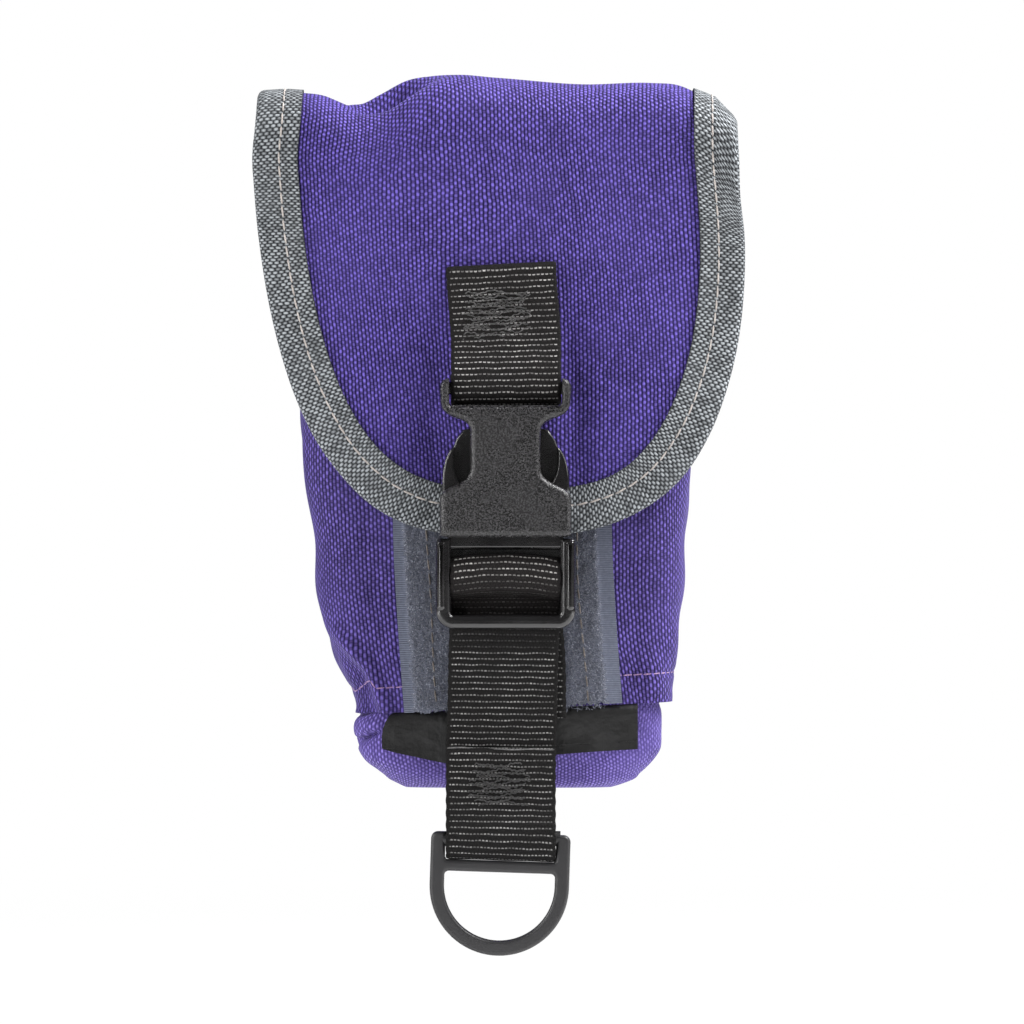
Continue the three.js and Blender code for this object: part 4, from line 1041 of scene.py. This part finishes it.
def hook_cloth():
    """The hook side, laid on the lining of the flap."""
    half = WIDE_WIDTH / 2
    gx, gz = np.meshgrid(np.linspace(-half, half, 100), np.linspace(76, 104, 60))
    q = FRONT_START + FRONT_TOP - gz
    hooks = 0.1 * np.random.default_rng(43).uniform(-1, 1, gx.shape) * (np.abs(gx) < 22.4)
    outer, _ = flap_point(gx, q, -1.45)
    inner, _ = flap_point(gx, q, -2.2 + hooks)

    def is_edge(centres):
        return np.abs(centres[:, 0] - bend(centres[:, 2], FLAP_LEAN)) > 22.6

    return edged(slab("hook_pile", outer, inner, np.stack([gx, gz], -1), HOOKS, 80), SELVEDGE, is_edge)


hook_pile = hook_cloth()
place(hook_pile, "flap", "hook_patch", slot="touch_fastener")


def fibres(count, x_low, x_high, z_low, z_high, y, seed):
    """Loose loops of nap yarn that stand out of the touch fastener."""
    rng = np.random.default_rng(seed)
    lines = []
    for _ in range(count):
        x, z = rng.uniform(x_low, x_high), rng.uniform(z_low, z_high)
        heading, size = rng.uniform(0, 2 * math.pi), rng.uniform(0.35, 1.0)
        t = np.linspace(0, math.pi * rng.uniform(0.7, 1.3), 6)
        along, across = size * (1 - np.cos(t)) * 0.6, size * 0.3 * np.sin(t * 1.7)
        dx = along * math.cos(heading) - across * math.sin(heading)
        dz = along * math.sin(heading) + across * math.cos(heading)
        dy = -rng.uniform(0.15, 0.5) * np.sin(t)
        lines.append(np.column_stack([x + dx + patch_middle(z), y + dy, z + dz]))
    return lines


NAP = thread_look("nap_yarn", (0.27, 0.29, 0.35), (0.07, 0.075, 0.1))
loops = fibres(1300, -22.4, -13.2, 18.4, 57, -28.5, 44)
loops += fibres(1100, 13.2, 21.2, 18.8, 57, -28.5, 45)
loops += fibres(150, -22, 21, 17.6, 18.8, -28.4, 46)
loop_nap = tubes("loop_nap", loops, 0.045, NAP, 3)
place(loop_nap, "pouch", slot="touch_fastener")

for hand, x0 in (("left", -17.3), ("right", 17.0)):
    z = np.linspace(18.5, 105, 200)
    wander = 0.25 * np.sin(z / 7.0 + x0)
    line = np.column_stack([x0 + wander + patch_middle(z), np.full(200, -28.75), z])
    out = np.tile([0.0, -1.0, 0.0], (200, 1))
    sewn = stitches(f"patch_stitches_{hand}", line, out, BROWN_THREAD, 2.6, 0.8, 0.2, 0.16, 50)
    place(sewn, "pouch", slot="thread")

LABEL_PROFILE = (
    (-25.95, 18.4), (-26.0, 17.0), (-27.6, 16.6), (-28.3, 15.2), (-28.2, 13.0), (-28.0, 9.6), (-28.1, 8.3),
)
LABEL_DROP = ((-29, 0.6), (-20, 0.0), (-12, -0.8), (0, -0.6), (12, 0.4), (31, 1.1))
FOLD_DROP = ((-29, 0.1), (-24, 1.0), (-14, 2.4), (-4, 2.5), (10, 2.2), (31, 1.9))


def label_cloth():
    """A folded satin label that hangs from the hem and curls at its left end."""
    profile, places = resample(rounded(LABEL_PROFILE, 3), 0.3)
    x, y, z = np.linspace(-28.6, 30.8, 120)[None, :], profile[:, :1], profile[:, 1:]
    share = (places / places[-1])[:, None]
    grid = np.zeros((len(places), 120, 3))
    grid[..., 0] = x + 0.5 * fade(-x, 24, 29) * share * 2 + 6.0 * fade(-x, 8, 28.6) * (1 - share) ** 2.6
    grid[..., 1] = y - 1.5 * fade(-x, 18, 29) * share * 0.55 + 0.22 * ripple(x, z * 2.0, 12, 61) * share
    grid[..., 2] = z + bend(x, LABEL_DROP) * share + (0.032 * (x + 33) * (1 - 0.4 * share) - 0.2)
    uv = np.stack(np.broadcast_arrays(x, places[:, None]), -1)
    front = slab("label_front", grid, grid - front_normals(grid) * 0.3, uv, SATIN)
    rear = grid + (0, 0.42, 0)
    rear[..., 2] -= share * bend(x, FOLD_DROP)
    fold = slab("label_fold", rear, rear + (0, 0.3, 0), uv, SATIN)
    return front, fold


label_front, label_fold = label_cloth()
place(label_front, "pouch", "label", slot="label_satin")
place(label_fold, "pouch", slot="label_satin")


# Straps


def webbing(name, path, material, seed, pitch=RIB, width=WEB_WIDTH, shift=None, tilt=None):
    """Ribbed webbing along a path of (y, z) points, with rounded selvedges."""
    line, places = resample(rounded(path, 3), 0.22)
    t = unit(np.gradient(line, axis=0))
    n = np.stack([-t[:, 1], t[:, 0]], 1)
    spacing = 0.7 if width < 30 else 1.2
    gx, gs = np.meshgrid(np.linspace(-width / 2, width / 2, 2 * int(width / spacing) + 1), places)
    edge = np.clip((width / 2 - np.abs(gx)) / 0.9, 0, 1)
    half = WEB / 2 * (0.45 + 0.55 * np.sqrt(1 - (1 - edge) ** 2))
    row = (gs + 0.12 * ripple(gx, gs, 9, seed + 70)) / pitch
    rib = np.abs(np.sin(math.pi * row)) ** 0.7
    nub = 0.5 + 0.5 * np.cos(2 * math.pi * (gx / 0.98 + 0.5 * np.floor(row)))
    bumps = RIB_RELIEF * (rib - 0.75 + 0.35 * nub * (1 - rib)) * (0.4 + 0.6 * edge)
    jag = 0.07 * np.sin(math.pi * gs / pitch) * (1 - edge) * np.sign(gx)
    wave = 0.1 * ripple(gx, gs, 14, seed + 75)
    faces = []
    for side in (1, -1):
        off = side * (half + bumps) + wave * 0.5
        x = gx + jag
        y = line[:, :1] + n[:, :1] * off
        z = line[:, 1:] + n[:, 1:] * off
        if shift is not None:
            x = x + shift(z)
        if tilt is not None:
            z = z + gx * tilt(z)
        faces.append(np.stack([x, y, z], -1))
    return slab(name, *faces, np.stack([gx, gs + 0.5 * pitch], -1), material, 50)


SOCKET_BAR = (-35.8, 90.9)


def upper_shift(z):
    return 0.7 - 1.1 * fade(z, 100, 119)


def upper_tilt(z):
    return 0.012 + 0.04 * fade(z, 92, 116)


upper_path = [(-33.3, 104), (-33.3, 96), (-33.4, 92.5)]
upper_path += arc(SOCKET_BAR, (2.45, 3.5), 345, 190, 8)
upper_path += [
    (-38.0, 94.5), (-36.4, 98.6), (-35.4, 102), (-35.1, 108), (-35.0, 116.4), (-34.9, 118.1),
    (-34.2, 118.7), (-33.5, 118.2), (-33.3, 116.8), (-33.3, 105.4),
]
upper = webbing("flap_webbing", upper_path, WEBBING, 1, shift=upper_shift, tilt=upper_tilt)
place(upper, "flap", "flap_strap", slot="webbing")


def tack_threads(name, x_range, z_range, y, material, seed, rows, tilt=0.0, tangle=0.3, radius=0.125):
    """A dense sewn tack: zigzag strands that wander over each other, with uneven ends."""
    rng = np.random.default_rng(seed)
    lines = []

    def wander(x, low, high):
        return tangle * np.sin(x / rng.uniform(low, high) + rng.uniform(0, 6.3))

    for z0 in np.linspace(*z_range, rows):
        left = x_range[0] + rng.uniform(-0.8, 1.8)
        right = x_range[1] + rng.uniform(-1.8, 0.8)
        count = int((right - left) / rng.uniform(0.4, 0.75))
        x = np.linspace(left, right, count)
        drift = wander(x, 0.9, 1.8) + wander(x, 1.8, 4.0)
        zigzag = 0.24 * np.where(np.arange(count) % 2, 1, -1) * rng.uniform(0.0, 1.4, count)
        z = z0 + zigzag + drift + rng.uniform(-0.05, 0.05) * x
        depth = y - 0.16 * np.abs(rng.normal(0, 1, count)) - 0.08 * np.cos(x / rng.uniform(0.6, 1.5))
        z = np.clip(z, z_range[0] - 0.7, z_range[1] + 0.7) + x * tilt
        lines.append(rounded(np.column_stack([x, depth, z]), 2))
    return tubes(name, lines, radius, material)


TACK_THREAD = thread_look("tack_thread", (0.13, 0.125, 0.125), (0.008, 0.0075, 0.0075))
upper_tack = tack_threads("flap_tack", (-8.6, 5.6), (101.5, 112.6), -35.85, TACK_THREAD, 80, 22, 0.04)
place(upper_tack, "flap", "flap_strap_tack", slot="thread")

PLUG_BAR = (-39.1, 48.8)
wrap_path = [(-36.85, 49.4)]
wrap_path += arc(PLUG_BAR, (2.25, 3.85), 15, 250, 12)
wrap_path += [(-36.9, 44.2), (-35.3, 43.2), (-35.0, 41.0), (-35.1, 38.8), (-35.15, 36.9)]


def plug_shift(z):
    return BUCKLE_SHIFT + 0 * z


strap_over = webbing("wrap_webbing", wrap_path, WEBBING_WRAP, 2, shift=plug_shift)
# The front of the wrap is bowed, with its edges lower than its middle.
bow = rows_of(strap_over.data.vertices, "co")
bow[:, 2] -= 0.0011 * (bow[:, 0] / 0.0125) ** 2 * (bow[:, 1] < -0.0405)
strap_over.data.vertices.foreach_set("co", bow.ravel())
place(strap_over, "plug", "strap_wrap", slot="webbing")


def tail_shift(z):
    return bend(z, [(-16, -0.5), (9, -0.4), (20, -0.1), (30, 0.1), (38, 0.4)])


def tail_tilt(z):
    return -0.012 - 0.021 * fade(-z, 6, 14)


tail_path = [
    (-35.15, 36.3), (-34.9, 34.6), (-33.6, 29.4), (-32.3, 24.0), (-31.65, 18.5), (-31.3, 13.5),
    (-31.25, 9.3),
]
tail = webbing("tail_webbing", tail_path, WEBBING_TAIL, 3, LOW_RIB, shift=tail_shift, tilt=tail_tilt)
place(tail, "plug", "tail_run", slot="webbing")

RING_BAR = (-32.05, -11.75)
end_path = [(-32.85, 9.0), (-32.85, -5.0), (-34.3, -8.6)]
end_path += arc(RING_BAR, (2.7, 4.35), 170, 370, 10)
end_path += [(-29.9, -8.6), (-31.2, -5.0), (-31.25, 9.0)]
strap_end = webbing("end_webbing", end_path, WEBBING_LOW, 4, LOW_RIB, shift=tail_shift, tilt=tail_tilt)
place(strap_end, "strap_end", "strap_end", slot="webbing")

CUT_THREAD = thread_look("cut_edge", (0.16, 0.155, 0.155), (0.06, 0.06, 0.06))
x = np.linspace(-12.3, 12.1, 60)
cut_z = 8.75 - 0.012 * x + 0.12 * ripple(x, x * 0, 5, 91)
cut = np.column_stack([x + tail_shift(9.0), np.full(60, -33.35), cut_z])
place(tubes("cut_edge_thread", [cut], 0.2, CUT_THREAD), "strap_end", slot="thread")
end_tack = tack_threads("end_tack", (-7.4, 5.6), (-3.9, 5.0), -33.65, BLACK_THREAD, 82, 17, -0.012)
place(end_tack, "strap_end", "strap_end_tack", slot="thread")

anchor_path = [
    (-29.65, 15.7), (-29.65, 25), (-29.7, 30), (-30.6, 33.2), (-32.5, 39.5), (-33.4, 42.5),
    (-36.2, 46.2), (-36.85, 48.7),
]


def anchor_shift(z):
    return bend(z, [(15, 1.9), (30, 1.7), (40, 0.9), (49, 0.6)])


anchor = webbing("anchor_webbing", anchor_path, WEBBING_LOW, 5, LOW_RIB, shift=anchor_shift)
place(anchor, "pouch", "anchor_run", slot="webbing")


# Belt loop

loop_path = [
    (0.95, 134), (0.95, 130.8), (2.4, 128.9), (5.5, 128.3), (6.45, 126.6), (6.45, 100), (6.45, 72.4),
    (5.5, 70.7), (2.4, 70.1), (0.95, 68.2), (0.95, 65),
]
belt_loop = webbing("belt_loop_webbing", loop_path, WIDE_WEBBING, 6, width=WIDE_WIDTH)
place(belt_loop, "pouch", "belt_loop", slot="webbing")
for end, z0 in (("top", 132.6), ("bottom", 66.4)):
    name, z_range = f"belt_loop_tack_{end}", (z0 - 0.7, z0 + 0.7)
    tack = tack_threads(name, (-23.5, 23.5), z_range, 1.75, BLACK_THREAD, 84, 3, tangle=0.1, radius=0.15)
    place(tack, "pouch", slot="thread")


# Buckle


def bezier(a, b, c, d, steps=10):
    t = np.linspace(0, 1, steps + 1)[:, None]
    a, b, c, d = (np.array(p, float) for p in (a, b, c, d))
    return ((1 - t) ** 3 * a + 3 * (1 - t) ** 2 * t * b + 3 * (1 - t) * t**2 * c + t**3 * d).tolist()


def on_side(hand, shape):
    return [(hand * x, z) for x, z in shape]


def mirrored(right):
    """A closed outline from its right half."""
    return right + on_side(-1, right[::-1])


def oblong(half, low, high):
    return [(-half, low), (half, low), (half, high), (-half, high)]


def round_box(x, half, low, high, low_radius, high_radius, steps):
    """A box with rounded corners about a line at x."""
    corners = (
        (half - low_radius, low + low_radius, low_radius),
        (half - high_radius, high - high_radius, high_radius),
        (-half + high_radius, high - high_radius, high_radius),
        (-half + low_radius, low + low_radius, low_radius),
    )
    points = []
    for quarter, (corner_x, corner_z, r) in enumerate(corners):
        start = 90 * (quarter - 1)
        points += arc((x + corner_x, corner_z), (r, r), start, start + 90, steps)
    return points


def socket_right():
    """The right half of the socket's front: its mouth, its waist and the ear beside the bar."""
    half, waist = 14.9, 7.95
    points = arc((half - 1.4, 58.4), (1.4, 1.4), -90, 0, 6)
    points += bezier((half, 65.6), (half, 69.0), (waist + 0.4, 68.4), (waist, 72.4))
    points += bezier((waist, 80.4), (waist, 83.2), (9.6, 83.4), (11.2, 84.0), 8)
    points += bezier((11.2, 84.0), (13.2, 84.8), (half - 0.4, 85.4), (half - 0.2, 87.6), 8)
    points += arc((half - 2.0, 91.0), (2.0, 2.0), 0, 90, 6)
    return points + [(12.8, 93.0), (12.75, 87.4), (12.3, 86.8)]


def socket_meshes():
    right = socket_right()
    rear = [p for p in right if p[1] < 86.5] + [(12.9, 86.6)]
    half = 4.7
    meshes = [
        cut_out([mirrored(right)], BUCKLE_Y - half + 1.45, 2.9, 1.4),
        cut_out([mirrored(rear)], BUCKLE_Y + half - 1.0, 2.0, 0.6),
    ]
    wall = [(13.5, 57.3), (14.8, 57.3), (14.8, 66.6), (13.5, 66.8)]
    ear = [(12.85, 87.4), (14.5, 87.4), (14.5, 91.6), (13.9, 92.5), (12.85, 92.7)]
    for hand in (-1, 1):
        meshes.append(cut_out([on_side(hand, wall)], BUCKLE_Y, 7.6, 0.25))
        meshes.append(cut_out([on_side(hand, ear)], BUCKLE_Y - 0.9, 6.2, 0.4))
    core = [(7.0, 80.5), (9.5, 84.6), (12.4, 86.0), (12.4, 86.9)]
    meshes.append(cut_out([mirrored(core)], BUCKLE_Y, 7.8, 0.2))
    return meshes + [rod(13.4, SOCKET_BAR, (1.5, 1.5))]


def plug_meshes():
    """The plug's frame with its rails, its bar and head, and the guide up its middle."""
    low, top = 36.2, 56.7
    outside = arc((15.85 - 4.2, low + 4.2), (4.2, 4.2), -90, 0, 10)
    outside += arc((15.85 - 0.9, top - 0.9), (0.9, 0.9), 0, 90, 4)
    inside = [(12.4, top)] + arc((12.4 - 0.8, low + 3.9), (0.8, 0.8), 0, -90, 4)
    plates = [
        (mirrored(outside + inside), BUCKLE_Y - 0.35, 6.3, 1.15),
        (oblong(13.2, 53.9, 56.6), -35.9, 2.0, 0.9),
        (oblong(13.2, 54.6, 57.4), BUCKLE_Y, 4.8, 0.4),
        # A thin plate of the dark plastic behind the top of the wrap: it stands in for the deep shade in the
        # band above the webbing.
        (oblong(12.6, 50.4, 55.4), -36.1, 1.0, 0.2),
        (round_box(0, 2.3, 56.0, 73.2, 0.3, 1.8, 5), BUCKLE_Y, 4.0, 0.5),
    ]
    for x in (-14.6, 14.6):
        plates.append((round_box(x, 1.05, 40.2, 56.2, 1.0, 0.6, 4), BUCKLE_Y - 2.95, 2.1, 1.0))
    return [cut_out([shape], *rest) for shape, *rest in plates] + [rod(13.4, PLUG_BAR, (1.3, 2.9))]


def arm_meshes(hand):
    """One sprung arm: a slender stem, a thin inner blade and the rounded grip outside."""
    stem = [(9.5, 58.2), (12.1, 58.2), (12.4, 66.0), (10.6, 67.5), (9.5, 66.0)]
    blade = [
        (7.4, 66.0), (12.6, 66.4), (12.6, 72.0), (12.2, 76.6), (11.2, 79.2), (9.6, 81.4), (7.4, 81.8),
        (7.2, 72.0),
    ]
    grip = bezier((9.9, 67.6), (12.2, 66.4), (14.2, 66.4), (14.4, 67.6), 8)
    grip += bezier((14.4, 68.4), (14.5, 73.0), (13.4, 76.4), (11.9, 77.4), 10)
    grip += bezier((11.7, 76.8), (12.2, 73.0), (11.2, 70.4), (9.9, 68.6), 8)
    plates = ((stem, 0, 4.2, 0.4), (blade, 1.5, 2.4, 0.5), (grip, 0, 5.4, 0.6))
    return [
        cut_out([on_side(hand, shape)], BUCKLE_Y + back, thickness, bevel)
        for shape, back, thickness, bevel in plates
    ]


def buckle_piece(name, meshes, material, body, node):
    made = joined(name, [shifted(mesh, BUCKLE_SHIFT) for mesh in meshes], material)
    place(made, body, node, slot="buckle_plastic")


buckle_piece("buckle_socket_shell", socket_meshes(), PLASTIC, "flap", "buckle_socket")
buckle_piece("buckle_plug_frame", plug_meshes(), SMOOTH, "plug", "buckle_plug")
for hand, name in ((-1, "left"), (1, "right")):
    buckle_piece(f"arm_{name}_spring", arm_meshes(hand), SMOOTH, f"arm_{name}", f"plug_arm_{name}")


# Ring


def ring_meshes():
    """The D-ring: a half round with an eye, two ears above it and a bar between them."""
    half, inner = 15.9, 12.6
    top, eye_top, slot_low, middle = -10.0, -19.9, -16.3, (0, -22.0)
    outline = arc(middle, (half, half), 180, 360, 44)
    outline += arc((half - 1.6, top - 1.6), (1.6, 1.6), 0, 90, 6)
    outline += mirrored([(12.65, top), (12.6, slot_low + 0.5), (12.2, slot_low)])
    outline += arc((-half + 1.6, top - 1.6), (1.6, 1.6), 90, 180, 6)
    eye = arc(middle, (inner, inner - 0.1), 180, 360, 40)
    for x, start in ((inner - 1.0, 0), (-inner + 1.0, 90)):
        eye += arc((x, eye_top), (1.0, 1.0), start, start + 90, 5)
    body = cut_out([outline, eye], RING_BAR[0], 3.5, 0.8, (-0.5, -0.5), -1.9, (0.0, RING_BAR[1]))
    return [body, shifted(rod(13.6, RING_BAR, (1.75, 1.75)), -0.5)]


ring = joined("strap_ring", ring_meshes(), RING)
place(ring, "ring", "d_ring", slot="ring_plastic")


# The bag's left and right sides at the back panel's heights.


left, right = sides_at(BACK_HEIGHTS, BAG_SIDES)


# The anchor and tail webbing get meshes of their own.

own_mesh(anchor)
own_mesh(tail)


# Studio


def seen_apart(tree, usual, seen, share, output):
    """Show one shader to the camera, by a share, and the usual one to everything else."""
    mix = tree.nodes.new("ShaderNodeMixShader")
    for socket, entry in zip(mix.inputs, (share, usual.outputs[0], seen.outputs[0])):
        tree.links.new(entry, socket)
    tree.links.new(mix.outputs[0], tree.nodes[output].inputs["Surface"])


def floor_paper():
    """A pale matte paper that the camera sees whiter and whiter away from the object."""
    material = bpy.data.materials.new("floor_paper")
    material.use_nodes = True
    tree = material.node_tree
    shader = tree.nodes["Principled BSDF"]
    shader.inputs["Base Color"].default_value = (0.9, 0.9, 0.9, 1)
    shader.inputs["Roughness"].default_value = 0.9
    shader.inputs["Specular IOR Level"].default_value = 0.1
    spot, away, glow, path, share, light = (
        tree.nodes.new("ShaderNode" + kind)
        for kind in ("TexCoord", "VectorMath", "MapRange", "LightPath", "Math", "Emission")
    )
    light.inputs["Color"].default_value = (1, 1, 1, 1)
    away.operation = "LENGTH"
    share.operation = "MULTIPLY"
    glow.interpolation_type = "SMOOTHSTEP"
    for name, value in (("From Min", 0.12), ("From Max", 0.7), ("To Min", 0.9), ("To Max", 1.0)):
        glow.inputs[name].default_value = value
    for output, entry in (
        (spot.outputs["Object"], away.inputs[0]),
        (away.outputs["Value"], glow.inputs["Value"]),
        (path.outputs["Is Camera Ray"], share.inputs[0]),
        (glow.outputs[0], share.inputs[1]),
    ):
        tree.links.new(output, entry)
    seen_apart(tree, shader, light, share.outputs[0], "Material Output")
    return material


FLOOR_HALF = 3.0
mesh = bpy.data.meshes.new("floor")
corners = [(x * FLOOR_HALF, y * FLOOR_HALF, 0) for x, y in ((-1, -1), (1, -1), (1, 1), (-1, 1))]
mesh.from_pydata(corners, [], [(0, 1, 2, 3)])
mesh.materials.append(floor_paper())
floor = thing("floor", mesh)
floor.location = (0, 0, -0.186)

world = bpy.data.worlds.new("studio")
bpy.context.scene.world = world
world.use_nodes = True
tree = world.node_tree
sky, seen = tree.nodes["Background"], tree.nodes.new("ShaderNodeBackground")
for background, strength in ((sky, 0.08), (seen, 1.0)):
    background.inputs["Color"].default_value = (1, 1, 1, 1)
    background.inputs["Strength"].default_value = strength
camera_ray = tree.nodes.new("ShaderNodeLightPath").outputs["Is Camera Ray"]
seen_apart(tree, sky, seen, camera_ray, "World Output")


def lamp(name, at, target, size, power):
    light = bpy.data.lights.new(name, "AREA")
    light.shape = "RECTANGLE"
    light.size, light.size_y = size
    light.energy = power
    made = thing(name, light)
    made.location = at
    away = mathutils.Vector(target) - mathutils.Vector(at)
    made.rotation_euler = away.to_track_quat("-Z", "Y").to_euler()


lamp("key", (0.46, -0.5, 0.5), (0, -0.03, 0.02), (0.3, 0.22), 1.9)
lamp("front_left", (-0.42, -0.66, 0.12), (0, -0.03, -0.02), (0.04, 0.6), 1.45)
lamp("left_strip", (-0.66, -0.16, 0.2), (0, -0.03, -0.03), (0.1, 0.5), 3.5)
lamp("right_strip", (0.66, -0.18, 0.26), (0, -0.03, 0.01), (0.1, 0.5), 2.2)
lamp("low_left", (-0.36, -0.26, -0.15), (0, -0.03, -0.12), (0.2, 0.06), 0.2)
lamp("low_right", (0.36, -0.26, -0.15), (0, -0.03, -0.12), (0.2, 0.06), 0.1)
lamp("top", (0.44, 0.02, 0.6), (0, -0.02, 0), (0.5, 0.3), 13.0)

CAMERA_DISTANCE = 1.6
FRAME_WIDTH = 0.2328
SENSOR = 36
data = bpy.data.cameras.new("camera")
data.sensor_width = SENSOR
data.lens = SENSOR * CAMERA_DISTANCE / FRAME_WIDTH
data.clip_start = 0.05
camera = thing("camera", data)
camera.location = metres((2.05, -36.0, 62.7)) - (0, CAMERA_DISTANCE, 0)
camera.rotation_euler = (math.radians(90), 0, 0)
bpy.context.scene.camera = camera
bpy.context.scene.view_settings.view_transform = "Standard"
